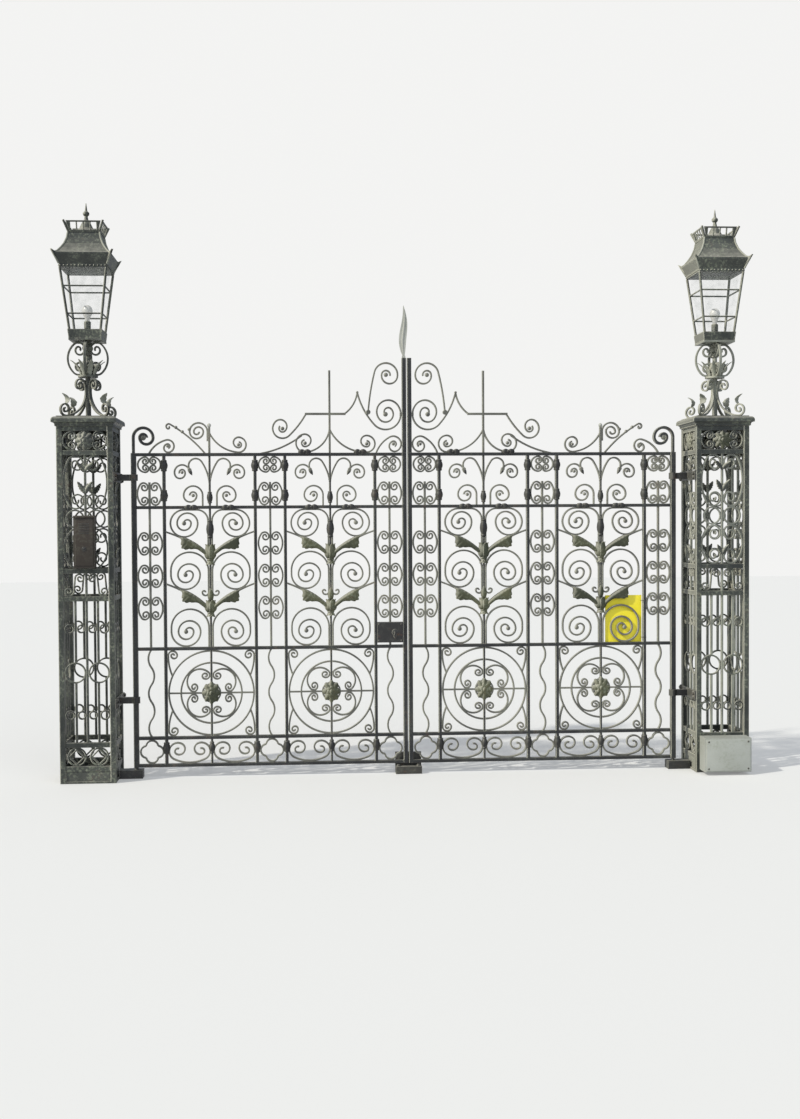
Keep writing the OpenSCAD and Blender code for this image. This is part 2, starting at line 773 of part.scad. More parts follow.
// Lantern roof: coved cornice with pointed ears, domed roof, flared gallery and finial
module lantern_roof() {
    eaves = lantern_head + 6;
    reach = 200;
    dome_top = 226;
    dome = [
        [eaves, 22], [eaves + 8, 40], [eaves + 26, 78], [eaves + 26, 88], [eaves + 8, 96],
        [136, 122], [118, 152], [104, 190], [98, dome_top]
    ];
    gallery = 102;
    flare = 122;
    gallery_h = 64;
    ear = [[eaves * 1.2, 30], [216, 44], [242, 66], [266, 104], [240, 92], [eaves * 1.2, 88]];
    color("#2b2e30") translate([0, 0, crown_z]) {
        translate([-eaves, -eaves, 0]) cube([2 * eaves, 2 * eaves, 22]);
        intersection_for(turn = [0, 90]) rotate(turn) upright() {
            linear_extrude(2 * reach, center = true) {
                polygon(concat(dome, [for (i = [len(dome) - 1:-1:0]) [-dome[i][0], dome[i][1]]]));
            }
        }
        for (turn = [45:90:315]) rotate(turn) upright() linear_extrude(14, center = true) polygon(ear);
        translate([0, 0, dome_top]) {
            translate([-gallery, -gallery, 0]) cube([2 * gallery, 2 * gallery, 10]);
            for (turn = [0:90:270]) rotate(turn) {
                translate([0, 6 - gallery, 4]) fret(gallery - 14, flare - 14, gallery_h);
                rod([6 - gallery, 6 - gallery, 5], [-flare, -flare, gallery_h + 6], 7);
            }
            rotate_extrude() polygon([
                [0, 5], [80, 5], [80, 16], [44, 40], [30, 70], [14, 96], [10, 116], [20, 128],
                [20, 140], [8, 152], [2, 200], [0, 200]
            ]);
        }
    }
}

// Collars on the pier that hold the hinge stile's journals, and the shoe under its pivot
module hinge_brackets() {
    reach = hinge_gap;
    arm_w = 24;
    shoe_half = 42;
    color("#1f2124") {
        for (z = collar_z) translate([hinge_x, 0, z - collar_h / 2]) {
            difference() {
                union() {
                    cylinder(h = collar_h, r = collar_r);
                    translate([0, -arm_w / 2, 0]) cube([reach, arm_w, collar_h]);
                }
                translate([0, 0, -1]) cylinder(h = collar_h + 2, r = journal_r + journal_clear);
            }
            translate([reach - strap_t, -pier_face, -10]) cube([strap_t, pier_w, collar_h + 20]);
        }
        translate([hinge_x, 0, 0]) difference() {
            translate([-shoe_half, -shoe_half, 0]) cube([shoe_half + reach, 2 * shoe_half, shoe_h]);
            translate([0, 0, pivot_foot - 2]) cylinder(h = shoe_h, r = pivot_r + journal_clear);
        }
    }
}

// Low block on the ground between the leaves' feet, with a lip behind the meeting stiles
module centre_stop() {
    block_h = 46;
    lip_y = 22;
    color("#3a3b3a") translate([gate_x, 0, 0]) {
        translate([-84, -45, 0]) cube([168, 90, block_h]);
        translate([-84, lip_y, block_h]) cube([168, 45 - lip_y, 84]);
    }
}

// Plastic control case on the front of the right pier's foot
module control_box() {
    color("#969b96") translate([right_x - 150, -pier_face - 118, 20]) cube([300, 118, 216]);
}

// Entry phone case on the front of the left pier
module intercom() {
    back = (post_w - bar_w) / 2;
    color("#3b2b22") translate([-65, -pier_face - 50, 1345]) cube([130, 50 + back, 325]);
}

left_pier() pier_frame();  // left_pier_frame
left_pier() pier_bars();  // left_pier_bars
left_pier() pier_scrolls();  // left_pier_scrolls
left_pier() pier_bands();  // left_pier_bands
left_pier() pier_cap();  // left_pier_cap
left_pier() pedestal();  // left_pedestal
left_pier() lantern_stem();  // left_lantern_stem
left_pier() lantern_cage();  // left_lantern_cage
left_pier() lantern_glass();  // left_lantern_glass
left_pier() lantern_roof();  // left_lantern_roof
right_pier() pier_frame();  // right_pier_frame
right_pier() pier_bars();  // right_pier_bars
right_pier() pier_scrolls();  // right_pier_scrolls
right_pier() pier_bands();  // right_pier_bands
right_pier() pier_cap();  // right_pier_cap
right_pier() pedestal();  // right_pedestal
right_pier() lantern_stem();  // right_lantern_stem
right_pier() lantern_cage();  // right_lantern_cage
right_pier() lantern_glass();  // right_lantern_glass
right_pier() lantern_roof();  // right_lantern_roof
left_leaf() hinge_brackets();  // left_hinge_brackets
right_leaf() hinge_brackets();  // right_hinge_brackets
centre_stop();
control_box();
intercom();
left_leaf() leaf_frame();  // left_leaf_frame
left_leaf() leaf_foot_band();  // left_leaf_foot_band
left_leaf() leaf_circles();  // left_leaf_circles
left_leaf() leaf_middle();  // left_leaf_middle
left_leaf() leaf_top_band();  // left_leaf_top_band
left_leaf() leaf_narrow();  // left_leaf_narrow
left_leaf() leaf_cresting();  // left_leaf_cresting
left_leaf() leaf_post();  // left_leaf_post
lock();  // left_leaf_lock
finial();  // left_leaf_finial
right_leaf() leaf_frame();  // right_leaf_frame
right_leaf() leaf_foot_band();  // right_leaf_foot_band
right_leaf() leaf_circles();  // right_leaf_circles
right_leaf() leaf_middle();  // right_leaf_middle
right_leaf() leaf_top_band();  // right_leaf_top_band
right_leaf() leaf_narrow();  // right_leaf_narrow
right_leaf() leaf_cresting();  // right_leaf_cresting
right_leaf() leaf_post();  // right_leaf_post
notice();  // right_leaf_notice
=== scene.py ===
"""Looks for a pair of scrolled iron driveway gates between two lantern piers."""
import math

import bpy
from mathutils import Euler, Matrix, Vector


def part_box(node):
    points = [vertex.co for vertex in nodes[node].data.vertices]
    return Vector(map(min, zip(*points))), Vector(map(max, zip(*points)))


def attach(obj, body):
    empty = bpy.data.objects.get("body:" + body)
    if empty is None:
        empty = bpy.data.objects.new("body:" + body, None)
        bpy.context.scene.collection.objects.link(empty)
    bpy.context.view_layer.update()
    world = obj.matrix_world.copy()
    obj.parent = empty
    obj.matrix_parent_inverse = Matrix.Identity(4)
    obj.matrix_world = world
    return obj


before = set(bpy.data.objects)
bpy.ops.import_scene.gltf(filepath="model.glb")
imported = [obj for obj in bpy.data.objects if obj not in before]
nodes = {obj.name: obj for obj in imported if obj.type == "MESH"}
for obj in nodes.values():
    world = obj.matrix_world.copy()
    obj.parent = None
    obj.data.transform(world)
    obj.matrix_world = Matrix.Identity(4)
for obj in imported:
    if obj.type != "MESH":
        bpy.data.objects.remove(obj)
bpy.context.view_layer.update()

# The view of the photograph: eye height, about eight metres in front of the leaves and left of
# their middle, turned a little to the right.
PITCH, YAW, ROLL = -1.531, -3.859, -0.329
FOCAL_PIXELS, PHOTO_HIGH, SENSOR_HIGH = 1324, 1119, 24
camera = bpy.data.objects.new("camera", bpy.data.cameras.new("camera"))
bpy.context.scene.collection.objects.link(camera)
camera.location = (1.394, -8.5, 1.606)
aim = Euler((math.radians(90 + PITCH), 0, math.radians(YAW))).to_matrix()
camera.rotation_euler = (aim @ Matrix.Rotation(math.radians(ROLL), 3, "Z")).to_euler()
camera.data.sensor_fit = "VERTICAL"
camera.data.sensor_height = SENSOR_HIGH
camera.data.lens = FOCAL_PIXELS / PHOTO_HIGH * SENSOR_HIGH
camera.data.clip_end = 200
bpy.context.scene.camera = camera

# The studio: a wide pale floor under a pale sky, both shown near white to the camera. The object is
# lit by the sun lamp, a soft front light and the sky.
bpy.context.scene.view_settings.view_transform = "Standard"
SHOWN = (0.90, 0.90, 0.89, 1)


def new_material(name):
    made = bpy.data.materials.new(name)
    made.use_nodes = True
    return made, made.node_tree, made.node_tree.nodes["Principled BSDF"]


def studio_material():
    made, tree, shader = new_material("studio")
    shader.inputs["Base Color"].default_value = (0.60, 0.60, 0.58, 1)
    shader.inputs["Roughness"].default_value = 0.9
    glow = tree.nodes.new("ShaderNodeEmission")
    glow.inputs["Color"].default_value = SHOWN
    glow.inputs["Strength"].default_value = 0.24
    seen = tree.nodes.new("ShaderNodeLightPath")
    either = tree.nodes.new("ShaderNodeMath")
    either.operation = "MAXIMUM"
    tree.links.new(seen.outputs["Is Camera Ray"], either.inputs[0])
    tree.links.new(seen.outputs["Is Glossy Ray"], either.inputs[1])
    third = tree.nodes.new("ShaderNodeMath")
    third.operation = "MAXIMUM"
    tree.links.new(either.outputs[0], third.inputs[0])
    tree.links.new(seen.outputs["Is Transmission Ray"], third.inputs[1])
    both = tree.nodes.new("ShaderNodeAddShader")
    tree.links.new(shader.outputs[0], both.inputs[0])
    tree.links.new(glow.outputs[0], both.inputs[1])
    choice = tree.nodes.new("ShaderNodeMixShader")
    tree.links.new(third.outputs[0], choice.inputs[0])
    tree.links.new(shader.outputs[0], choice.inputs[1])
    tree.links.new(both.outputs[0], choice.inputs[2])
    tree.links.new(choice.outputs[0], tree.nodes["Material Output"].inputs["Surface"])
    return made


bpy.ops.object.select_all(action="DESELECT")
bpy.ops.mesh.primitive_plane_add(size=60, location=(2, 0, -0.002))
floor = bpy.context.object
floor.name = "floor"
floor.data.materials.append(studio_material())

world = bpy.data.worlds.new("studio")
bpy.context.scene.world = world
world.use_nodes = True
sky = world.node_tree
sky_light = sky.nodes["Background"]
sky_light.inputs["Color"].default_value = (0.80, 0.87, 1.0, 1)
sky_light.inputs["Strength"].default_value = 0.42
sky_shown = sky.nodes.new("ShaderNodeBackground")
sky_shown.inputs["Color"].default_value = SHOWN
sky_path = sky.nodes.new("ShaderNodeLightPath")
sky_either = sky.nodes.new("ShaderNodeMath")
sky_either.operation = "MAXIMUM"
sky_choice = sky.nodes.new("ShaderNodeMixShader")
sky.links.new(sky_path.outputs["Is Camera Ray"], sky_either.inputs[0])
sky.links.new(sky_path.outputs["Is Transmission Ray"], sky_either.inputs[1])
sky.links.new(sky_either.outputs[0], sky_choice.inputs[0])
sky.links.new(sky_light.outputs[0], sky_choice.inputs[1])
sky.links.new(sky_shown.outputs[0], sky_choice.inputs[2])
sky.links.new(sky_choice.outputs[0], sky.nodes["World Output"].inputs["Surface"])

for name, strength, angle, turn, colour in (
        ("sun", 2.9, 2, (50, 0, -64), (1.0, 0.96, 0.88)),
        ("front_fill", 0.8, 60, (55, 0, 20), (0.9, 0.95, 1.0))):
    lamp = bpy.data.objects.new(name, bpy.data.lights.new(name, "SUN"))
    lamp.data.energy = strength
    lamp.data.angle = math.radians(angle)
    lamp.data.color = colour
    lamp.rotation_euler = [math.radians(v) for v in turn]
    bpy.context.scene.collection.objects.link(lamp)


# The leaf frames: square iron bars forged and welded together, painted black long ago. The finish
# that all the painted iron shares is made here: paint that fades, chalk, dust on what faces up,
# rust that breaks through at edges, grey-green lichen, and a painted sun highlight: the side and
# the rounded edges that face the sun are painted pale in the chalk colour.
def weathering_and_highlight():
    # The chalk colour also serves as a painted sun highlight, on the side facing the sun's
    # direction given first.
    sun_from = (-0.93, -0.22, 0.30)
    bare_iron, chalk_and_highlight, dust = (0.22, 0.20, 0.18, 1), (0.63, 0.62, 0.50, 1), (0.36, 0.35, 0.30, 1)
    dark_rust, pale_rust = (0.055, 0.022, 0.010, 1), (0.19, 0.085, 0.035, 1)
    dark_lichen, pale_lichen = (0.13, 0.15, 0.085, 1), (0.34, 0.37, 0.29, 1)
    tree = bpy.data.node_groups.new("iron_weathering_and_highlight", "ShaderNodeTree")
    for name, kind, value in (("Paint", "NodeSocketColor", (0.02, 0.022, 0.022, 1)),
                              ("Worn", "NodeSocketColor", (0.16, 0.15, 0.14, 1)),
                              ("Rust", "NodeSocketFloat", 0.3), ("Lichen", "NodeSocketFloat", 0.3),
                              ("Dust", "NodeSocketFloat", 0.5), ("Chalk And Highlight", "NodeSocketFloat", 0.3),
                              ("Edge Width", "NodeSocketFloat", 0.006)):
        tree.interface.new_socket(name, in_out="INPUT", socket_type=kind).default_value = value
    for name, kind in (("Color", "NodeSocketColor"), ("Roughness", "NodeSocketFloat"),
                       ("Height", "NodeSocketFloat")):
        tree.interface.new_socket(name, in_out="OUTPUT", socket_type=kind)
    take = tree.nodes.new("NodeGroupInput")
    give = tree.nodes.new("NodeGroupOutput")
    place = tree.nodes.new("ShaderNodeTexCoord")

    def noise(scale, detail=4, rough=0.6):
        node = tree.nodes.new("ShaderNodeTexNoise")
        node.inputs["Scale"].default_value = scale
        node.inputs["Detail"].default_value = detail
        node.inputs["Roughness"].default_value = rough
        tree.links.new(place.outputs["Object"], node.inputs["Vector"])
        return node.outputs["Fac"]

    def band(value, low, high, out_low=0.0, out_high=1.0):
        node = tree.nodes.new("ShaderNodeMapRange")
        node.interpolation_type = "SMOOTHSTEP"
        tree.links.new(value, node.inputs["Value"])
        for name, number in (("From Min", low), ("From Max", high),
                             ("To Min", out_low), ("To Max", out_high)):
            node.inputs[name].default_value = number
        return node.outputs["Result"]

    def sums(kind, a, b, clamp=False):
        node = tree.nodes.new("ShaderNodeMath")
        node.operation = kind
        node.use_clamp = clamp
        for i, value in enumerate((a, b)):
            if isinstance(value, (int, float)):
                node.inputs[i].default_value = value
            else:
                tree.links.new(value, node.inputs[i])
        return node.outputs[0]

    def blend(mask, a, b):
        node = tree.nodes.new("ShaderNodeMix")
        node.data_type = "RGBA"
        tree.links.new(mask, node.inputs["Factor"])
        for socket, value in ((node.inputs["A"], a), (node.inputs["B"], b)):
            if isinstance(value, tuple):
                socket.default_value = value
            else:
                tree.links.new(value, socket)
        return node.outputs["Result"]

    def along(vector, other):
        node = tree.nodes.new("ShaderNodeVectorMath")
        node.operation = "DOT_PRODUCT"
        tree.links.new(vector, node.inputs[0])
        if isinstance(other, tuple):
            node.inputs[1].default_value = other
        else:
            tree.links.new(other, node.inputs[1])
        return node.outputs["Value"]

    broad, middle, fine = noise(3.1), noise(24), noise(160, 6, 0.7)
    soft = tree.nodes.new("ShaderNodeBevel")
    soft.samples = 6
    tree.links.new(take.outputs["Edge Width"], soft.inputs["Radius"])
    flat = tree.nodes.new("ShaderNodeNewGeometry")
    turned_by = along(soft.outputs["Normal"], flat.outputs["Normal"])
    rim = band(turned_by, 0.86, 0.74)
    own = tree.nodes.new("ShaderNodeVectorTransform")
    own.vector_type = "NORMAL"
    own.convert_from = "WORLD"
    own.convert_to = "OBJECT"
    tree.links.new(soft.outputs["Normal"], own.inputs["Vector"])
    # Painted sun highlight: faces turned to the sun's side, and most of all their rounded edges,
    # are marked for the pale chalk colour.
    sun_facing = along(own.outputs["Vector"], sun_from)
    facing_up = band(along(place.outputs["Normal"], (0, 0, 1)), 0.25, 0.95)
    sun_side_highlight = sums("MULTIPLY", band(sun_facing, 0.27, 0.62),
                        band(turned_by, 0.999, 0.95, 0.40, 1.0))
    edge = sums("MULTIPLY", rim, band(middle, 0.42, 0.62))
    patches = band(sums("ADD", middle, sums("MULTIPLY", broad, 0.6)), 0.90, 1.04)
    rusted = sums("MULTIPLY", sums("ADD", patches, sums("MULTIPLY", edge, 0.5), True),
                  take.outputs["Rust"])
    spots = sums("MULTIPLY", band(noise(58, 5, 0.7), 0.50, 0.60), band(broad, 0.38, 0.60))
    mossed = sums("MULTIPLY", spots, take.outputs["Lichen"])
    dusted = sums("MULTIPLY", sums("MULTIPLY", facing_up, band(middle, 0.30, 0.62, 0.45, 1.0)),
                  take.outputs["Dust"])
    chalk_and_highlight_mask = sums("MULTIPLY", sums("MULTIPLY", sun_side_highlight, band(fine, 0.28, 0.58, 0.50, 1.0)),
                   take.outputs["Chalk And Highlight"])
    faded = blend(band(broad, 0.35, 0.70, 0.0, 0.55), take.outputs["Paint"], take.outputs["Worn"])
    speckled = blend(band(fine, 0.50, 0.78, 0.0, 0.45), faded, take.outputs["Worn"])
    rubbed = blend(sums("MULTIPLY", edge, 0.55), speckled, bare_iron)
    rusty = blend(rusted, rubbed, blend(fine, dark_rust, pale_rust))
    grown = blend(mossed, rusty, blend(middle, dark_lichen, pale_lichen))
    # The chalk colour laid on: real chalk and painted sun highlight together.
    with_chalk_and_highlight = blend(chalk_and_highlight_mask, grown, chalk_and_highlight)
    tree.links.new(blend(dusted, with_chalk_and_highlight, dust), give.inputs["Color"])
    matt = sums("ADD", sums("MULTIPLY", sums("ADD", rusted, mossed, True), 0.35),
                band(fine, 0.3, 0.7, 0.36, 0.58), True)
    tree.links.new(sums("ADD", matt, sums("MULTIPLY", sums("ADD", dusted, chalk_and_highlight_mask), 0.3), True),
                   give.inputs["Roughness"])
    tree.links.new(sums("ADD", sums("MULTIPLY", fine, 0.5), sums("ADD", rusted, mossed, True)),
                   give.inputs["Height"])
    return tree


iron_weathering_and_highlight = weathering_and_highlight()


# The chalk amount sets both real chalk and the painted sun highlight; the edge width also sets how
# far that painted highlight reaches over rounded edges.
def iron(name, paint, worn, rust, lichen, dust, chalk_and_highlight, edge=0.006):
    made, tree, shader = new_material(name)
    coat = tree.nodes.new("ShaderNodeGroup")
    coat.node_tree = iron_weathering_and_highlight
    for socket, value in (("Paint", (*paint, 1)), ("Worn", (*worn, 1)), ("Rust", rust),
                          ("Lichen", lichen), ("Dust", dust), ("Chalk And Highlight", chalk_and_highlight),
                          ("Edge Width", edge)):
        coat.inputs[socket].default_value = value
    bump = tree.nodes.new("ShaderNodeBump")
    bump.inputs["Strength"].default_value = 0.35
    bump.inputs["Distance"].default_value = 0.0012
    tree.links.new(coat.outputs["Height"], bump.inputs["Height"])
    tree.links.new(coat.outputs["Color"], shader.inputs["Base Color"])
    tree.links.new(coat.outputs["Roughness"], shader.inputs["Roughness"])
    tree.links.new(bump.outputs["Normal"], shader.inputs["Normal"])
    return made


def dress(prefixes, material):
    for name, node in nodes.items():
        if name.startswith(prefixes):
            node.data.materials.clear()
            node.data.materials.append(material)


# The frame bars' wide edge width spreads the painted sun highlight over the side of each post and
# stile that faces the sun.
leaf_iron = iron("leaf_iron", (0.007, 0.008, 0.010), (0.045, 0.048, 0.046),
                 rust=0.20, lichen=0.12, dust=0.5, chalk_and_highlight=0.9, edge=0.010)
# The scrolls are painted paler than the frame bars: partly worn paint, partly painted sunlight on
# the thin bars.
scroll_iron = iron("scroll_iron", (0.072, 0.073, 0.065), (0.27, 0.265, 0.22),
                   rust=0.22, lichen=0.35, dust=0.8, chalk_and_highlight=1.0, edge=0.007)
dress(("left_leaf", "right_leaf"), scroll_iron)
dress(("left_leaf_frame", "right_leaf_frame", "left_leaf_post", "right_leaf_post"), leaf_iron)

# Swollen bosses on the stiles and centre bars, in the foot band and the top band. The hot bar was
# upset and rounded there, so each boss is one piece with its bar.
stop_low, stop_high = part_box("centre_stop")
MIDDLE = (stop_low.x + stop_high.x) / 2
SIDES = (("left", -1), ("right", 1))
STILES = (0.207, 0.782, 0.972, 1.547)
WIDE_PANELS = (0.4945, 1.2595)
BOSS_HEIGHTS = (0.185, 1.795, 1.985)


def on_leaf(side, x, z):
    """From a piece's own origin to a place on either leaf, x measured out from the middle."""
    return (Matrix.Translation((MIDDLE, 0, 0)) @ Matrix.Scale(side, 4, (1, 0, 0))
            @ Matrix.Translation((x, 0, z)))


def copy_of(pattern, name, matrix, body):
    made = bpy.data.objects.new(name, pattern.data.copy())
    made.data.name = name
    made.data.transform(matrix)
    if matrix.determinant() < 0:
        made.data.flip_normals()
    bpy.context.scene.collection.objects.link(made)
    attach(made, body)
    return made


def clear_away(*patterns):
    for pattern in patterns:
        bpy.data.objects.remove(pattern)


def finish_edges(angle=35):
    bpy.ops.object.shade_smooth_by_angle(angle=math.radians(angle))


def turned(name, profile, material, steps=20):
    """A piece forged or turned round Z: its outline from (radius, height) points, spun."""
    bpy.ops.object.select_all(action="DESELECT")
    outline = bpy.data.meshes.new(name)
    outline.from_pydata([(r, 0, z) for r, z in profile],
                        [(i, i + 1) for i in range(len(profile) - 1)], [])
    piece = bpy.data.objects.new(name, outline)
    bpy.context.scene.collection.objects.link(piece)
    bpy.context.view_layer.objects.active = piece
    piece.select_set(True)
    bpy.ops.object.mode_set(mode="EDIT")
    bpy.ops.mesh.select_all(action="SELECT")
    bpy.ops.mesh.spin(steps=steps, angle=math.tau, center=(0, 0, 0), axis=(0, 0, 1))
    bpy.ops.mesh.select_all(action="SELECT")
    bpy.ops.mesh.remove_doubles(threshold=1e-5)
    bpy.ops.mesh.normals_make_consistent(inside=False)
    bpy.ops.object.mode_set(mode="OBJECT")
    finish_edges()
    piece.data.materials.append(material)
    return piece


boss_iron = iron("boss_iron", (0.006, 0.006, 0.007), (0.035, 0.036, 0.034),
                 rust=0.15, lichen=0.05, dust=0.35, chalk_and_highlight=0.30)
stile_boss = turned("stile_boss", [
    (0, -0.036), (0.0165, -0.036), (0.0195, -0.031), (0.0180, -0.024), (0.0230, -0.012),
    (0.0250, 0), (0.0230, 0.012), (0.0180, 0.024), (0.0195, 0.031), (0.0165, 0.036),
    (0, 0.036)], boss_iron)
bar_boss = turned("bar_boss", [
    (0, -0.038), (0.0110, -0.038), (0.0150, -0.032), (0.0125, -0.026), (0.0200, -0.012),
    (0.0225, 0), (0.0200, 0.012), (0.0125, 0.026), (0.0150, 0.032), (0.0110, 0.038),
    (0, 0.038)], boss_iron)
for label, side in SIDES:
    for i, x in enumerate(STILES):
        for j, z in enumerate(BOSS_HEIGHTS):
            copy_of(stile_boss, f"{label}_stile_boss_{i}_{j}", on_leaf(side, x, z),
                    label + "_leaf")
    for i, x in enumerate(WIDE_PANELS):
        copy_of(bar_boss, f"{label}_bar_boss_{i}", on_leaf(side, x, BOSS_HEIGHTS[0]),
                label + "_leaf")
clear_away(stile_boss, bar_boss)

# Long knots on the centre bar of each wide panel, forged round the bar and painted with it: a large
# one over the legs of the upper volutes, and a smaller one above it in the top band.
KNOTS = ((1.580, 1.0, 1.0), (1.782, 0.78, 0.66))
KNOT_DEEP = 0.9
long_knot = turned("long_knot", [
    (0, -0.056), (0.0130, -0.056), (0.0195, -0.050), (0.0160, -0.042), (0.0225, -0.020),
    (0.0245, 0), (0.0222, 0.022), (0.0155, 0.045), (0.0195, 0.051), (0.0130, 0.056),
    (0, 0.056)], boss_iron)
for label, side in SIDES:
    for i, x in enumerate(WIDE_PANELS):
        for j, (z, wide, tall) in enumerate(KNOTS):
            copy_of(long_knot, f"{label}_long_knot_{i}_{j}",
                    on_leaf(side, x, z) @ Matrix.Diagonal((wide, KNOT_DEEP, tall, 1)),
                    label + "_leaf")
clear_away(long_knot)

# Acanthus leaves on the two branches of each wide panel, beaten from sheet iron and riveted on both
# faces: a narrow sheath hugs the branch and opens into a lobed leaf that hangs under it before the
# stile. Old bronze-green paint and lichen make them paler than the bars.
foliage_iron = iron("foliage_iron", (0.030, 0.036, 0.017), (0.165, 0.165, 0.080),
                    rust=0.20, lichen=0.50, dust=0.55, chalk_and_highlight=0.75)
BRANCHES = ((1.062, 0.172), (1.405, 0.161))
BRANCH_RUN = 0.2835
CHORD, ARC = 0.329, 0.800
LEAF_FROM, LEAF_LONG = 0.030, 0.205
LOBES = 8
FRONT = Matrix.Identity(4)
BACK = Matrix.Scale(-1, 4, (0, 1, 0))
HANDS = (("out", 1), ("in", -1))


def modify(piece, kind, **settings):
    bpy.ops.object.modifier_add(type=kind)
    for setting, value in settings.items():
        setattr(piece.modifiers[-1], setting, value)
    bpy.ops.object.modifier_apply(modifier=piece.modifiers[-1].name)


def beaten(name, length, grid, half, lift, material, thick=0.003, refine=0):
    """A leaf beaten from sheet: a grid drawn out along X, edged by half and hollowed by lift."""
    bpy.ops.object.select_all(action="DESELECT")
    bpy.ops.mesh.primitive_grid_add(x_subdivisions=grid[0], y_subdivisions=grid[1], size=1)
    blade = bpy.context.object
    blade.name = name
    for vertex in blade.data.vertices:
        t, u = vertex.co.x + 0.5, 2 * vertex.co.y
        vertex.co = (length * t, -lift(t, u), half(t, u))
    modify(blade, "SOLIDIFY", thickness=thick, offset=0)
    if refine:
        modify(blade, "SUBSURF", levels=refine, render_levels=refine)
    finish_edges(50)
    blade.data.materials.append(material)
    return blade


def gather(name, parts):
    """Rivets copies of several pieces together: parts are (pattern, matrix) pairs."""
    bpy.ops.object.select_all(action="DESELECT")
    for pattern, matrix in parts:
        made = bpy.data.objects.new(name, pattern.data.copy())
        made.data.transform(matrix)
        if matrix.determinant() < 0:
            made.data.flip_normals()
        bpy.context.scene.collection.objects.link(made)
        made.select_set(True)
    bpy.context.view_layer.objects.active = made
    bpy.ops.object.join()
    return made


def smooth(low, high, value):
    t = min(1, max(0, (value - low) / (high - low)))
    return t * t * (3 - 2 * t)


def scallop(t, lobes, deep):
    return 1 - deep + deep * abs(math.sin(math.pi * lobes * t)) ** 0.6


def branch_height(x):
    return math.sqrt(ARC ** 2 - (x - CHORD / 2) ** 2) - math.sqrt(ARC ** 2 - (CHORD / 2) ** 2)


def hanging(t):
    return smooth(0.28, 0.64, t) * (1 - smooth(0.66, 0.97, t))


def leaf_edge(t, u):
    over = 0.011 + 0.005 * math.sin(math.pi * t)
    under = 0.0115 + 0.050 * hanging(t) * scallop(t, LOBES, 0.30)
    narrowing = 1 - 0.9 * smooth(0.78, 1, t)
    return branch_height(LEAF_FROM + LEAF_LONG * t) + u * (over if u > 0 else under) * narrowing


def leaf_lift(t, u):
    crown = 0.010 * (1 - u * u) + 0.004 * hanging(t) * (1 - abs(u))
    closing = smooth(0.82, 1, t)
    return (0.0115 + crown * (1 - closing) - 0.0025 * closing
            + 0.0036 * abs(u) * hanging(t) * math.cos(math.tau * LOBES * t))


leaf_half = beaten("branch_leaf_half", LEAF_LONG, (36, 10), leaf_edge, leaf_lift, foliage_iron,
                   refine=1)
for vertex in leaf_half.data.vertices:
    low = max(0, branch_height(LEAF_FROM + vertex.co.x) - vertex.co.z - 0.014)
    vertex.co.x += LEAF_FROM + 0.30 * low
branch_leaf = gather("branch_leaf", [(leaf_half, FRONT), (leaf_half, BACK)])
for label, side in SIDES:
    for i, x in enumerate(WIDE_PANELS):
        for j, (root, rise) in enumerate(BRANCHES):
            lean = Matrix.Rotation(-math.atan2(rise, BRANCH_RUN), 4, "Y")
            for way, hand in HANDS:
                copy_of(branch_leaf, f"{label}_branch_leaf_{i}_{j}_{way}",
                        on_leaf(side, x, root) @ Matrix.Scale(hand, 4, (1, 0, 0)) @ lean,
                        label + "_leaf")
clear_away(leaf_half, branch_leaf)

# Leafy knots where the branches leave the centre bar, of beaten sheet: six petals close round it
# over a band, and six short ones fold down. A forged pod stands over the lower knot, between the
# two little curls.
LEAFY_KNOTS = ((1.048, 0.80), (1.385, 1.0))
POD_HEIGHT = 1.122
STAND = Matrix(((0, -1, 0, 0), (0, 0, -1, 0), (1, 0, 0, 0), (0, 0, 0, 1)))


def petal_edge(wide):
    return lambda t, u: u * wide * math.sin(math.pi * (0.14 + 0.82 * t)) ** 0.7


def calyx_in(name, material):
    long_petal = beaten(name + "_long", 0.100, (12, 6), petal_edge(0.0215),
                        lambda t, u: (0.0125 + 0.021 * math.sin(math.pi * t ** 0.75)
                                      - 0.005 * u * u + 0.016 * t ** 7), material)
    short_petal = beaten(name + "_short", 0.034, (6, 6), petal_edge(0.0165),
                         lambda t, u: 0.0125 + 0.016 * t ** 2 - 0.004 * u * u, material)
    band_ring = turned(name + "_band", [
        (0.010, -0.008), (0.0185, -0.007), (0.021, 0), (0.0185, 0.007), (0.010, 0.008),
        (0.010, -0.008)], material)
    fold = Matrix.Scale(-1, 4, (0, 0, 1)) @ STAND
    sixths = [math.radians(60 * k) for k in range(6)]
    between = [math.radians(60 * k + 30) for k in range(6)]
    made = gather(name, [(long_petal, Matrix.Rotation(turn, 4, "Z") @ STAND) for turn in sixths]
                  + [(short_petal, Matrix.Rotation(turn, 4, "Z") @ fold) for turn in between]
                  + [(band_ring, FRONT)])
    clear_away(long_petal, short_petal, band_ring)
    return made


calyx = calyx_in("calyx", foliage_iron)
pod = turned("pod", [
    (0, 0), (0.010, 0.001), (0.017, 0.014), (0.0205, 0.032), (0.0175, 0.054), (0.009, 0.078),
    (0, 0.090)], foliage_iron)
for label, side in SIDES:
    for i, x in enumerate(WIDE_PANELS):
        for j, (z, tall) in enumerate(LEAFY_KNOTS):
            copy_of(calyx, f"{label}_leafy_knot_{i}_{j}",
                    on_leaf(side, x, z) @ Matrix.Diagonal((1.12, 0.85, tall, 1)),
                    label + "_leaf")
        copy_of(pod, f"{label}_pod_{i}", on_leaf(side, x, POD_HEIGHT), label + "_leaf")
clear_away(calyx, pod)

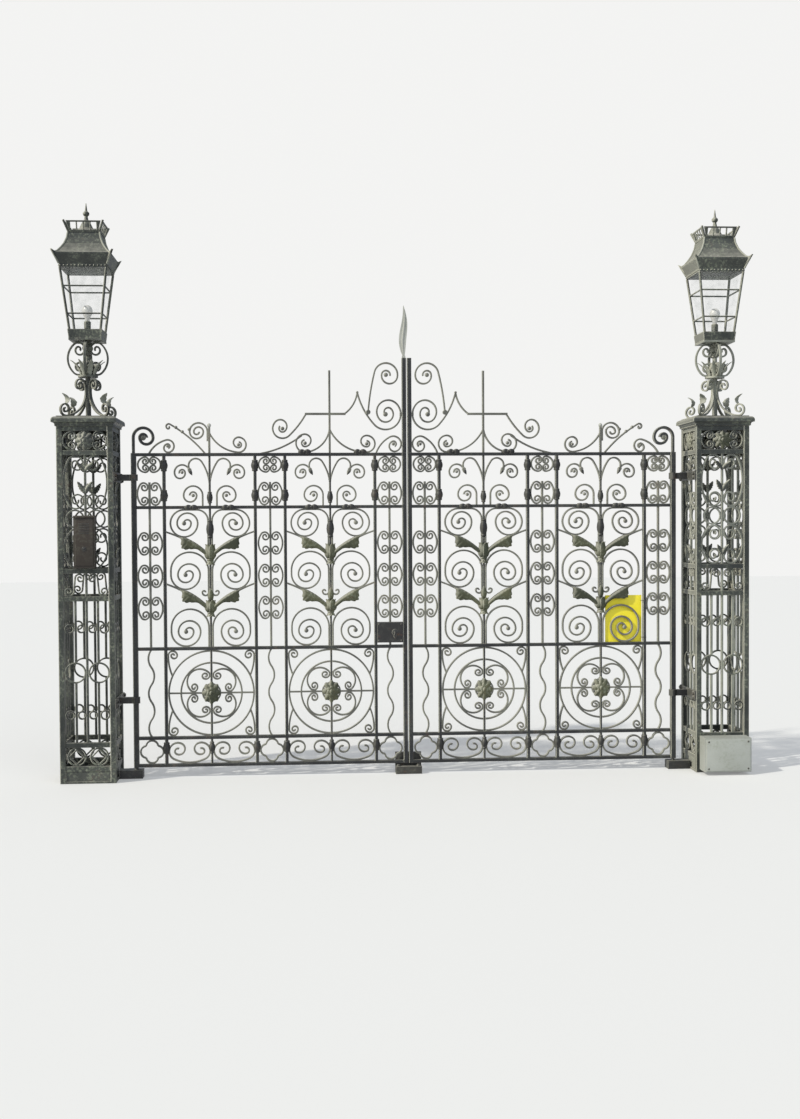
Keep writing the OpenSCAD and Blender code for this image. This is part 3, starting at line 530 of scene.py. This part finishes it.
# Clasps of two beaten leaves round a forged knob, front and back: on the rail under the top band,
# where the arches touch it, and on the top rail under the volutes of the cresting.
ARCH_REACH, ARCH_RAIL = 0.118, 1.720
CREST_CLASPS, TOP_RAIL = (0.300, 0.655), 2.071
LIE = Matrix.Rotation(math.radians(90), 4, "X")
OTHER_WAY = Matrix.Scale(-1, 4, (1, 0, 0))
clasp_leaf = beaten("clasp_leaf", 0.040, (8, 6), petal_edge(0.0165),
                    lambda t, u: 0.0150 + 0.007 * math.sin(math.pi * t) - 0.003 * u * u, boss_iron)
clasp_knob = turned("clasp_knob", [
    (0, -0.024), (0.004, -0.0235), (0.008, -0.021), (0.010, -0.016), (0.010, 0.016),
    (0.008, 0.021), (0.004, 0.0235), (0, 0.024)], boss_iron, 16)
clasp = gather("clasp", [(clasp_leaf, face @ way) for face in (FRONT, BACK)
                         for way in (FRONT, OTHER_WAY)] + [(clasp_knob, LIE)])
for label, side in SIDES:
    for i, x in enumerate(WIDE_PANELS):
        for way, hand in HANDS:
            copy_of(clasp, f"{label}_clasp_{i}_{way}",
                    on_leaf(side, x + hand * ARCH_REACH, ARCH_RAIL), label + "_leaf")
    for i, x in enumerate(CREST_CLASPS):
        copy_of(clasp, f"{label}_rail_clasp_{i}", on_leaf(side, x, TOP_RAIL), label + "_leaf")
clear_away(clasp, clasp_leaf, clasp_knob)

# Rosettes over the hubs of the circle panels: two rings of petals beaten from sheet, held by a
# button riveted through the hub. They are a little taller than wide.
HUB_HEIGHT = 0.535
outer_petal = beaten("outer_petal", 0.058, (8, 6), petal_edge(0.019),
                     lambda t, u: (0.0100 + 0.010 * math.sin(math.pi * t) - 0.004 * u * u
                                   + 0.002 * math.cos(math.pi * u)), foliage_iron)
inner_petal = beaten("inner_petal", 0.034, (6, 6), petal_edge(0.013),
                     lambda t, u: 0.0180 + 0.008 * math.sin(math.pi * t) - 0.003 * u * u,
                     foliage_iron)
button = turned("button", [
    (0, 0), (0.013, 0), (0.013, 0.022), (0.010, 0.029), (0.005, 0.032), (0, 0.033)],
    foliage_iron, 16)


def rosette():
    eighths = [math.radians(45 * k) for k in range(8)]
    sixths = [math.radians(60 * k + 15) for k in range(6)]
    return ([(outer_petal, Matrix.Rotation(turn, 4, "Y")) for turn in eighths]
            + [(inner_petal, Matrix.Rotation(turn, 4, "Y")) for turn in sixths] + [(button, LIE)])


hub_rosette = gather("hub_rosette", [(part, face @ place) for face in (FRONT, BACK)
                                     for part, place in rosette()])
for label, side in SIDES:
    for i, x in enumerate(WIDE_PANELS):
        copy_of(hub_rosette, f"{label}_hub_rosette_{i}",
                on_leaf(side, x, HUB_HEIGHT) @ Matrix.Diagonal((0.98, 1, 1.24, 1)),
                label + "_leaf")
clear_away(hub_rosette)

# Forged buds that hang from the arches of the top band, and buns welded on the rolled ends of the
# volutes. Eyes are given as x, height and size, from the panel's centre bar or from the middle.
BUD_REACH, BUD_HEIGHT, BUD_LEAN = 0.124, 1.951, 28
PANEL_EYES = ((0.158, 0.9275, 1.0), (0.158, 1.290, 1.0), (0.164, 1.6185, 1.0),
              (0.105, 1.7955, 0.8), (0.173, 1.942, 0.7))
CREST_EYES = ((0.136, 2.311, 1.1), (0.132, 2.563, 1.0), (0.795, 2.220, 0.9),
              (0.0865, 2.1205, 0.75), (0.258, 2.122, 0.8), (0.652, 2.1265, 0.85),
              (1.075, 2.117, 0.75), (1.522, 2.109, 0.7), (1.675, 2.163, 1.3))
bud = turned("bud", [
    (0, -0.032), (0.003, -0.028), (0.009, -0.016), (0.0120, -0.004), (0.010, 0.007),
    (0, 0.011)], leaf_iron, 16)
bun = turned("bun", [
    (0, -0.0105), (0.008, -0.0100), (0.0125, -0.0070), (0.0142, 0), (0.0125, 0.0070),
    (0.008, 0.0100), (0, 0.0105)], scroll_iron, 16)


def bun_on_eye(label, side, name, x, z, size):
    copy_of(bun, f"{label}_{name}",
            on_leaf(side, x, z) @ LIE @ Matrix.Diagonal((size, size, 1, 1)),
            label + "_leaf")


for label, side in SIDES:
    for i, x in enumerate(WIDE_PANELS):
        for way, hand in HANDS:
            hang = Matrix.Rotation(hand * math.radians(BUD_LEAN), 4, "Y")
            copy_of(bud, f"{label}_bud_{i}_{way}",
                    on_leaf(side, x + hand * BUD_REACH, BUD_HEIGHT) @ hang,
                    label + "_leaf")
            for j, (eye_x, eye_z, size) in enumerate(PANEL_EYES):
                bun_on_eye(label, side, f"bun_{i}_{j}_{way}", x + hand * eye_x, eye_z, size)
    for j, (eye_x, eye_z, size) in enumerate(CREST_EYES):
        bun_on_eye(label, side, f"crest_bun_{j}", eye_x, eye_z, size)
clear_away(bud)

# Beads forged on the outer whiplash of the cresting, and a pale ball on the short spike. Each bead
# is let down on the bar under it.
finial_iron = iron("finial_iron", (0.34, 0.35, 0.31), (0.55, 0.55, 0.50),
                   rust=0.15, lichen=0.4, dust=0.3, chalk_and_highlight=0.5)
BEADS = (1.385, 1.429, 1.469)
OVER_WHIPLASH, BEAD_SUNK = 2.235, 0.004
SPIKE_TOP = 2.239
ball = turned("ball", [
    (0, -0.012), (0.006, -0.011), (0.011, -0.006), (0.0125, 0.001), (0.011, 0.008),
    (0.006, 0.013), (0, 0.015)], finial_iron, 16)


def top_of(node_name, x, z_from, y=0.0):
    """Height of the first surface of a node under a point."""
    node = nodes[node_name]
    into = node.matrix_world.inverted()
    hit, where = node.ray_cast(into @ Vector((x, y, z_from)),
                               into.to_3x3() @ Vector((0, 0, -1)))[:2]
    return (node.matrix_world @ where).z if hit else None


for label, side in SIDES:
    for j, out in enumerate(BEADS):
        x = MIDDLE + side * out
        landed = top_of(label + "_leaf_cresting", x, OVER_WHIPLASH)
        if landed:
            copy_of(bun, f"{label}_bead_{j}", Matrix.Translation((x, 0, landed - BEAD_SUNK))
                    @ LIE @ Matrix.Diagonal((0.75, 0.75, 0.9, 1)), label + "_leaf")
    copy_of(ball, f"{label}_spike_ball", on_leaf(side, WIDE_PANELS[1], SPIKE_TOP),
            label + "_leaf")
clear_away(bun, ball)

# The piers: openwork frames of square bar with scrolls welded in, once black, now grey with lichen
# and chalk, with a painted sun highlight on the side that faces the sun. The left pier's bars and
# scrolls are painted darker as painted shade, the right one's paler as painted sunlight.
pier_iron = iron("pier_iron", (0.014, 0.018, 0.016), (0.11, 0.12, 0.10),
                 rust=0.18, lichen=0.65, dust=0.75, chalk_and_highlight=1.0, edge=0.010)
painted_shade_iron = iron("painted_shade_iron", (0.020, 0.024, 0.022), (0.13, 0.135, 0.115),
                  rust=0.18, lichen=0.55, dust=0.75, chalk_and_highlight=0.9)
painted_sunlit_iron = iron("painted_sunlit_iron", (0.115, 0.125, 0.105), (0.40, 0.41, 0.35),
                  rust=0.15, lichen=0.6, dust=0.85, chalk_and_highlight=1.0)
dress(("left_pier", "right_pier", "left_pedestal", "right_pedestal", "left_lantern",
       "right_lantern"), pier_iron)
dress(("left_pier_bars", "left_pier_scrolls", "left_pedestal", "left_lantern_stem"), painted_shade_iron)
dress(("right_pier_bars", "right_pier_scrolls", "right_pedestal", "right_lantern_stem"),
      painted_sunlit_iron)

# On all four faces of each pier: frieze rosettes riveted in the rings under the cap, and pairs of
# small leaves beaten from sheet on the centre bar, given by height, lean and size.
PIERS = (("left", 0.0, 1), ("right", 2 * MIDDLE, -1))
FACE_Y = -0.1555
FRIEZE = 2.135
PIER_LEAVES = ((1.810, -58, 1.0), (1.950, -44, 0.85), (1.405, -58, 0.85))


def on_face(centre, side, turn, z):
    """From a piece's own origin to the centre line of one of a pier's four faces."""
    return (Matrix.Translation((centre, 0, 0)) @ Matrix.Scale(side, 4, (1, 0, 0))
            @ Matrix.Rotation(turn, 4, "Z") @ Matrix.Translation((0, FACE_Y, z)))


frieze_rosette = gather("frieze_rosette", rosette())
pier_leaf = beaten("pier_leaf", 0.082, (20, 8),
                   lambda t, u: (u * 0.0175 * math.sin(math.pi * (0.12 + 0.87 * t)) ** 0.8
                                 * scallop(t, 5, 0.30)),
                   lambda t, u: 0.0078 + 0.0045 * (1 - u * u) + 0.014 * t ** 2.4,
                   pier_iron, 0.0026)
for label, centre, side in PIERS:
    for k in range(4):
        turn = math.radians(90 * k)
        flower = copy_of(frieze_rosette, f"{label}_frieze_rosette_{k}",
                         on_face(centre, side, turn, FRIEZE), "piers")
        # The left pier's rosettes take its painted shade.
        if label == "left":
            flower.data.materials.clear()
            flower.data.materials.append(painted_shade_iron)
        for j, (z, lean, size) in enumerate(PIER_LEAVES):
            for way, hand in HANDS:
                copy_of(pier_leaf, f"{label}_pier_leaf_{k}_{j}_{way}",
                        on_face(centre, side, turn, z) @ Matrix.Scale(hand, 4, (1, 0, 0))
                        @ Matrix.Rotation(math.radians(lean), 4, "Y")
                        @ Matrix.Diagonal((size, 1, size, 1)), "piers")
clear_away(frieze_rosette, pier_leaf, outer_petal, inner_petal, button)

# The lantern roofs are sheet iron. Ribs of round bar are soldered over their corners, paler with
# chalk and painted sunlight, and a row of small beads runs round under the eaves.
EAVES = 3.209
ROOF_EDGE = ((0.148, 0.022), (0.156, 0.040), (0.174, 0.078), (0.174, 0.088), (0.156, 0.096),
             (0.136, 0.122), (0.118, 0.152), (0.104, 0.190), (0.098, 0.226))
BEADS_A_SIDE, BEAD_STEP, FIRST_BEAD, BEAD_LINE = 13, 0.023, -0.138, -0.149
QUARTERS = [Matrix.Rotation(math.radians(90 * k), 4, "Z") for k in range(4)]
# Pale tip iron: chalk and painted sunlight on the ribs and leaves that catch the sun.
painted_sunlit_tip_iron = iron("painted_sunlit_tip_iron", (0.150, 0.160, 0.130), (0.44, 0.45, 0.38),
                rust=0.15, lichen=0.5, dust=0.8, chalk_and_highlight=1.0)


def rod(name, points, radius, material, closed=False):
    """Round bar bent through the points."""
    bpy.ops.object.select_all(action="DESELECT")
    path = bpy.data.curves.new(name, "CURVE")
    path.dimensions = "3D"
    path.bevel_depth = radius
    path.bevel_resolution = 2
    path.use_fill_caps = True
    line = path.splines.new("POLY")
    line.points.add(len(points) - 1)
    for point, place in zip(line.points, points):
        point.co = (*place, 1)
    line.use_cyclic_u = closed
    bent = bpy.data.objects.new(name, path)
    bpy.context.scene.collection.objects.link(bent)
    bpy.context.view_layer.objects.active = bent
    bent.select_set(True)
    bpy.ops.object.convert(target="MESH")
    bent = bpy.context.object
    bpy.ops.object.mode_set(mode="EDIT")
    bpy.ops.mesh.select_all(action="SELECT")
    bpy.ops.mesh.remove_doubles(threshold=1e-6)
    bpy.ops.mesh.normals_make_consistent(inside=False)
    bpy.ops.object.mode_set(mode="OBJECT")
    finish_edges(50)
    bent.data.materials.append(material)
    return bent


rib = rod("rib", [(half, half, EAVES + z) for half, z in ROOF_EDGE], 0.0060, painted_sunlit_tip_iron)
bead = turned("bead", [
    (0, -0.0052), (0.0037, -0.0037), (0.0052, 0), (0.0037, 0.0037), (0, 0.0052)], pier_iron, 8)
ribs = gather("ribs", [(rib, quarter) for quarter in QUARTERS])
bead_row = [Matrix.Translation((FIRST_BEAD + BEAD_STEP * i, BEAD_LINE, EAVES + 0.011))
            for i in range(BEADS_A_SIDE)]
beads = gather("beads", [(bead, quarter @ place) for quarter in QUARTERS for place in bead_row])
for label, centre, side in PIERS:
    at = Matrix.Translation((centre, 0, 0))
    copy_of(ribs, f"{label}_roof_ribs", at, "piers")
    copy_of(beads, f"{label}_eaves_beads", at, "piers")
clear_away(rib, bead, ribs, beads)

# The skirt at each lantern's foot: a band of sheet iron folded to a square that flares with the
# cage, soldered to its floor plate. It hides the lamp holder's foot.
SKIRT_MIDDLE, SKIRT_TALL = 2.806, 0.054
SKIRT_FOOT, SKIRT_HEAD = 0.0998, 0.1063
bpy.ops.object.select_all(action="DESELECT")
bpy.ops.mesh.primitive_cone_add(vertices=4, radius1=SKIRT_FOOT * math.sqrt(2),
                                radius2=SKIRT_HEAD * math.sqrt(2), depth=SKIRT_TALL,
                                end_fill_type="NOTHING")
skirt = bpy.context.object
skirt.name = "skirt"
skirt.data.transform(Matrix.Translation((0, 0, SKIRT_MIDDLE))
                     @ Matrix.Rotation(math.radians(45), 4, "Z"))
modify(skirt, "SOLIDIFY", thickness=0.0024, offset=0, use_even_offset=True)
modify(skirt, "BEVEL", width=0.0008)
finish_edges()
skirt.data.materials.append(pier_iron)
for label, centre, side in PIERS:
    copy_of(skirt, f"{label}_lantern_skirt", Matrix.Translation((centre, 0, 0)), "piers")
clear_away(skirt)

# The lamp in each lantern: a turned iron holder that stands on the first metal under it, and a
# blown glass bulb, dull with dust.
lamp_glass, lamp_tree, lamp_shader = new_material("lamp_glass")
lamp_noise = lamp_tree.nodes.new("ShaderNodeTexNoise")
lamp_noise.inputs["Scale"].default_value = 40
lamp_mix = lamp_tree.nodes.new("ShaderNodeMix")
lamp_mix.data_type = "RGBA"
lamp_mix.inputs["A"].default_value = (0.66, 0.65, 0.60, 1)
lamp_mix.inputs["B"].default_value = (0.82, 0.81, 0.77, 1)
lamp_tree.links.new(lamp_noise.outputs["Fac"], lamp_mix.inputs["Factor"])
lamp_tree.links.new(lamp_mix.outputs["Result"], lamp_shader.inputs["Base Color"])
lamp_shader.inputs["Roughness"].default_value = 0.25
IN_LANTERN, BULB_UP = EAVES - 0.1, 0.117
lamp_holder = turned("lamp_holder", [
    (0, 0), (0.034, 0), (0.034, 0.006), (0.013, 0.012), (0.011, 0.060), (0.021, 0.070),
    (0.022, 0.112), (0.015, 0.118), (0, 0.118)], pier_iron)
lamp_bulb = turned("lamp_bulb", [
    (0, 0), (0.013, 0), (0.017, 0.020), (0.031, 0.048), (0.034, 0.066), (0.028, 0.086),
    (0.015, 0.098), (0, 0.101)], lamp_glass)
for label, centre, side in PIERS:
    stand = (top_of(label + "_lantern_cage", centre, IN_LANTERN)
             or top_of(label + "_lantern_stem", centre, IN_LANTERN))
    if stand:
        copy_of(lamp_holder, f"{label}_lamp_holder", Matrix.Translation((centre, 0, stand)),
                "piers")
        copy_of(lamp_bulb, f"{label}_lamp_bulb",
                Matrix.Translation((centre, 0, stand + BULB_UP)), "piers")
clear_away(lamp_holder, lamp_bulb)

# Leafwork under the lanterns, beaten from sheet: leafy knots on the stem, a crown of eight leaves
# that stands on the collar, and a leaf on each rolled foot of the pedestal. The crown and the foot
# leaves are painted paler than the bars round them: chalk and painted sunlight.
CROWN_FOOT = 2.553
FOOT_REACH, OVER_FEET = 0.170, 2.45
STEM_KNOTS = ((2.570, 0.95), (2.700, 0.75))
crown_leaf = beaten("crown_leaf", 0.094, (16, 6),
                    lambda t, u: (u * 0.0185 * math.sin(math.pi * (0.16 + 0.82 * t)) ** 0.8
                                  * scallop(t, 4, 0.28)),
                    lambda t, u: 0.047 + 0.050 * t ** 1.4 + 0.014 * t ** 6 - 0.005 * u * u,
                    painted_sunlit_tip_iron, 0.0026)
foot_leaf = beaten("foot_leaf", 0.062, (16, 6),
                   lambda t, u: (u * 0.0250 * math.sin(math.pi * (0.14 + 0.83 * t)) ** 0.7
                                 * scallop(t, 3, 0.24)),
                   lambda t, u: (FOOT_REACH - 0.012 * math.sin(math.pi * t) + 0.026 * t ** 3
                                 - 0.006 * u * u), painted_sunlit_tip_iron, 0.0026)
crown = gather("crown", [(crown_leaf, Matrix.Rotation(math.radians(45 * k + 22.5), 4, "Z") @ STAND)
                         for k in range(8)])
stem_calyx = calyx_in("stem_calyx", pier_iron)
for label, centre, side in PIERS:
    copy_of(crown, f"{label}_stem_crown", Matrix.Translation((centre, 0, CROWN_FOOT)), "piers")
    diagonal = FOOT_REACH * math.sqrt(0.5)
    for k, (x, y) in enumerate(((1, 1), (-1, 1), (-1, -1), (1, -1))):
        landed = top_of(label + "_pedestal", centre + x * diagonal, OVER_FEET, y * diagonal)
        if landed:
            copy_of(foot_leaf, f"{label}_foot_leaf_{k}",
                    Matrix.Translation((centre, 0, landed - 0.002))
                    @ Matrix.Rotation(math.radians(45 + 90 * k), 4, "Z") @ STAND,
                    "piers")
    for j, (z, size) in enumerate(STEM_KNOTS):
        copy_of(stem_calyx, f"{label}_stem_knot_{j}", Matrix.Translation((centre, 0, z))
                @ Matrix.Diagonal((size * 1.25, size * 1.25, size * 0.8, 1)), "piers")
clear_away(crown_leaf, foot_leaf, crown, stem_calyx)

# The hinge straps: flat iron plates on the piers' inner faces, black and worn, each held by
# hexagon bolts on washers.
fitting_iron = iron("fitting_iron", (0.009, 0.009, 0.010), (0.06, 0.058, 0.055),
                    rust=0.35, lichen=0.1, dust=0.5, chalk_and_highlight=0.4)
dress(("left_hinge", "right_hinge", "left_leaf_lock"), fitting_iron)
STRAP_FACE, STRAP_EDGE = 0.1825, 0.150
STRAP_BOLTS = (0.480, 0.510, 1.895, 1.925)
head = turned("head", [
    (0, 0.003), (0.0115, 0.003), (0.0115, 0.0095), (0.0100, 0.0110), (0, 0.0110)],
    fitting_iron, 6)
washer = turned("washer", [
    (0, 0), (0.0150, 0), (0.0150, 0.0022), (0.0142, 0.0030), (0, 0.0030)], fitting_iron, 18)
bolt = gather("bolt", [(head, FRONT), (washer, FRONT)])
for label, centre, side in PIERS:
    for i, y in enumerate((-STRAP_EDGE, STRAP_EDGE)):
        for j, z in enumerate(STRAP_BOLTS):
            copy_of(bolt, f"{label}_strap_bolt_{i}_{j}",
                    Matrix.Translation((centre + side * STRAP_FACE, y, z))
                    @ Matrix.Rotation(side * math.radians(90), 4, "Y"), "piers")

# The centre stop: a rusty iron block under the meeting stiles, with an upright behind them that
# they close against, held down by two bolts.
ground_iron = iron("ground_iron", (0.030, 0.029, 0.025), (0.12, 0.11, 0.09),
                   rust=0.6, lichen=0.5, dust=0.6, chalk_and_highlight=0.2)
dress(("centre_stop",), ground_iron)
STOP_BOLTS, STOP_BOLT_Y, STOP_TOP = (-0.064, 0.064), -0.012, 0.046
for i, x in enumerate(STOP_BOLTS):
    copy_of(bolt, f"stop_bolt_{i}", Matrix.Translation((MIDDLE + x, STOP_BOLT_Y, STOP_TOP)),
            "piers")
clear_away(bolt, head, washer)

# The flame finial on the left post: cut from flat iron and painted pale, with a vein raised on
# both faces that follows its bends.
dress(("left_leaf_finial",), finial_iron)
VEIN_FOOT = (1.998, 0, 2.688)
vein = beaten("vein", 0.290, (24, 4),
              lambda t, u: (0.007 * math.sin(math.tau * (0.01 + 0.90 * t))
                            + u * (0.0065 * math.sin(math.pi * (0.05 + 0.93 * t)) + 0.0012)),
              lambda t, u: (0.0075 + 0.0045 * (1 - u * u)
                            * math.sin(math.pi * (0.04 + 0.94 * t))), finial_iron, 0.0015)
veins = gather("veins", [(vein, FRONT), (vein, BACK)])
copy_of(veins, "finial_veins",
        Matrix.Translation(VEIN_FOOT) @ Matrix.Rotation(math.radians(-90), 4, "Y"),
        "left_leaf")
clear_away(vein, veins)

# The lock: a sheet iron case, on both faces with a round escutcheon, a drop that covers the
# keyhole, and a screw in each corner.
LOCK_FACE, KEYHOLE_OUT = -0.024, 0.030
plate = turned("plate", [
    (0, 0), (0.0210, 0), (0.0210, 0.0020), (0.0175, 0.0034), (0.0060, 0.0040),
    (0.0060, 0.0058), (0.0035, 0.0070), (0, 0.0072)], fitting_iron, 24)
drop = beaten("drop", 0.036, (8, 6),
              lambda t, u: u * (0.0040 + 0.0065 * math.sin(math.pi * t ** 1.4)),
              lambda t, u: 0.0052 + 0.0022 * (1 - u * u), fitting_iron, 0.0016)
screw = turned("screw", [
    (0, 0), (0.0062, 0), (0.0058, 0.0018), (0.0035, 0.0030), (0, 0.0033)], fitting_iron, 12)
lock_low, lock_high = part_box("left_leaf_lock")
lock_x, lock_z = (lock_low.x + lock_high.x) / 2, (lock_low.z + lock_high.z) / 2
keyhole = Matrix.Translation((lock_x + KEYHOLE_OUT, 0, lock_z))
for label, turn in (("front", 0), ("back", 180)):
    face = Matrix.Rotation(math.radians(turn), 4, "Z") @ Matrix.Translation((0, LOCK_FACE, 0))
    copy_of(plate, f"lock_{label}_escutcheon", keyhole @ (face @ LIE), "left_leaf")
    copy_of(drop, f"lock_{label}_drop",
            keyhole @ face @ Matrix.Rotation(math.radians(90), 4, "Y"), "left_leaf")
    for i, x in enumerate((-0.072, 0.072)):
        for j, z in enumerate((-0.053, 0.053)):
            copy_of(screw, f"lock_{label}_screw_{i}_{j}",
                    Matrix.Translation((lock_x + x, 0, lock_z + z)) @ (face @ LIE),
                    "left_leaf")
clear_away(plate, drop)


# The entry phone on the left pier: a brown moulded case with a rounded cover, a rain hood, a
# slotted speaker and one push button, all clipped or screwed to the case's front.
def block(name, size, round_by, material):
    """A moulded or bent piece: a block with its edges rounded."""
    bpy.ops.object.select_all(action="DESELECT")
    bpy.ops.mesh.primitive_cube_add(size=1)
    made = bpy.context.object
    made.name = name
    made.data.transform(Matrix.Diagonal((*size, 1)))
    modify(made, "BEVEL", width=round_by, segments=3)
    finish_edges(40)
    made.data.materials.append(material)
    return made


brown_case = iron("brown_case", (0.020, 0.014, 0.009), (0.050, 0.038, 0.027),
                  rust=0.0, lichen=0.10, dust=0.4, chalk_and_highlight=0.15)
dark_plastic = iron("dark_plastic", (0.008, 0.008, 0.008), (0.03, 0.03, 0.03),
                    rust=0.0, lichen=0.0, dust=0.3, chalk_and_highlight=0.1)
dress(("intercom",), brown_case)
SLOTS, SLOT_STEP, LOWEST_SLOT = 7, 0.010, 0.052
phone_low, phone_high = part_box("intercom")
phone = Matrix.Translation(((phone_low.x + phone_high.x) / 2, phone_low.y,
                            (phone_low.z + phone_high.z) / 2))
cover = block("cover", (0.112, 0.007, 0.296), 0.003, brown_case)
hood = block("hood", (0.138, 0.018, 0.007), 0.002, brown_case)
slot_bar = block("slot_bar", (0.064, 0.003, 0.004), 0.001, dark_plastic)
push = turned("push", [
    (0, 0), (0.0150, 0), (0.0150, 0.0030), (0.0120, 0.0045), (0.0110, 0.0030),
    (0.0095, 0.0030), (0.0090, 0.0055), (0.0060, 0.0068), (0, 0.0070)], dark_plastic, 20)
copy_of(cover, "phone_cover", phone @ Matrix.Translation((0, -0.002, 0)), "piers")
copy_of(hood, "phone_hood", phone @ Matrix.Translation((0, -0.006, 0.153)), "piers")
for i in range(SLOTS):
    copy_of(slot_bar, f"phone_slot_{i}",
            phone @ Matrix.Translation((0, -0.0055, LOWEST_SLOT + SLOT_STEP * i)), "piers")
copy_of(push, "phone_button", phone @ Matrix.Translation((0, -0.0050, -0.045)) @ LIE, "piers")
clear_away(cover, hood, slot_bar, push)

# The gate motor's control case at the foot of the right pier: moulded grey plastic, dirty and
# faded, with a lid held by four screws.
grey_plastic = iron("grey_plastic", (0.42, 0.44, 0.40), (0.30, 0.31, 0.27),
                    rust=0.0, lichen=0.35, dust=0.4, chalk_and_highlight=0.4, edge=0.004)
dress(("control_box",), grey_plastic)
LID_LESS, SCREW_IN = 0.014, 0.022
case_low, case_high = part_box("control_box")
case_wide, case_tall = case_high.x - case_low.x, case_high.z - case_low.z
case = Matrix.Translation(((case_low.x + case_high.x) / 2, case_low.y,
                           (case_low.z + case_high.z) / 2))
lid = block("lid", (case_wide - LID_LESS, 0.008, case_tall - LID_LESS), 0.003, grey_plastic)
copy_of(lid, "case_lid", case @ Matrix.Translation((0, -0.0015, 0)), "piers")
for i, x in enumerate((-1, 1)):
    for j, z in enumerate((-1, 1)):
        corner = (x * (case_wide / 2 - SCREW_IN), -0.0052, z * (case_tall / 2 - SCREW_IN))
        copy_of(screw, f"case_screw_{i}_{j}", case @ Matrix.Translation(corner) @ LIE, "piers")
clear_away(lid, screw)

# The notice: a bare yellow board hung behind the volutes. Its rim is folded to the back, and two
# wires tie its edge to the stile.
notice_board = iron("notice_board", (0.93, 0.80, 0.015), (0.86, 0.74, 0.10),
                    rust=0.0, lichen=0.04, dust=0.1, chalk_and_highlight=0.0)
dress(("right_leaf_notice",), notice_board)
RIM, RIM_DEEP, RIM_ROUND = 0.006, 0.0022, 0.0008
LONG_RIM, SHORT_RIM = 0.292, 0.239
RIM_OUT_X, RIM_OUT_Z, RIM_BACK = 0.1165, 0.149, 0.0006
TIES, TIE_WIRE, TIE_TURN = (0.860, 1.100), 0.0013, 0.0035
TIE_NEAR, TIE_FAR, TIE_DEEP = 3.5440, 3.5705, 0.0115
board_low, board_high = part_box("right_leaf_notice")
board_x, board_z = (board_low.x + board_high.x) / 2, (board_low.z + board_high.z) / 2
for name, size, x, z in (("top", (SHORT_RIM, RIM_DEEP, RIM), 0, 1),
                         ("foot", (SHORT_RIM, RIM_DEEP, RIM), 0, -1),
                         ("left", (RIM, RIM_DEEP, LONG_RIM), -1, 0),
                         ("right", (RIM, RIM_DEEP, LONG_RIM), 1, 0)):
    edge = block("edge", size, RIM_ROUND, notice_board)
    copy_of(edge, "notice_rim_" + name,
            Matrix.Translation((board_x + x * RIM_OUT_X, board_high.y + RIM_BACK,
                                board_z + z * RIM_OUT_Z)), "right_leaf")
    clear_away(edge)
tie_line = []
for corner_x, corner_y, start_at in ((TIE_FAR, TIE_DEEP, 0), (TIE_NEAR, TIE_DEEP, 90),
                                     (TIE_NEAR, -TIE_DEEP, 180), (TIE_FAR, -TIE_DEEP, 270)):
    for step in range(4):
        angle = math.radians(start_at + 30 * step)
        tie_line.append((corner_x + TIE_TURN * math.cos(angle),
                         corner_y + TIE_TURN * math.sin(angle), 0))
tie = rod("tie", tie_line, TIE_WIRE, dark_plastic, True)
for i, z in enumerate(TIES):
    copy_of(tie, f"notice_tie_{i}", Matrix.Translation((0, 0, z)), "right_leaf")
clear_away(tie)

# The lantern panes: thin old glass held in the cages, clear in the middle of each patch and dusty
# in between.
glass, glass_tree, glass_shader = new_material("lantern_glass")
glass_shader.inputs["Base Color"].default_value = (0.38, 0.42, 0.39, 1)
glass_shader.inputs["Roughness"].default_value = 0.12
glass_place = glass_tree.nodes.new("ShaderNodeTexCoord")
glass_dirt = glass_tree.nodes.new("ShaderNodeTexNoise")
glass_dirt.inputs["Scale"].default_value = 22
glass_dirt.inputs["Detail"].default_value = 6
glass_clear = glass_tree.nodes.new("ShaderNodeMapRange")
for name, number in (("From Min", 0.48), ("From Max", 0.74), ("To Min", 0.03), ("To Max", 0.13)):
    glass_clear.inputs[name].default_value = number
glass_tree.links.new(glass_place.outputs["Object"], glass_dirt.inputs["Vector"])
glass_tree.links.new(glass_dirt.outputs["Fac"], glass_clear.inputs["Value"])
glass_tree.links.new(glass_clear.outputs["Result"], glass_shader.inputs["Alpha"])
dress(("left_lantern_glass", "right_lantern_glass"), glass)
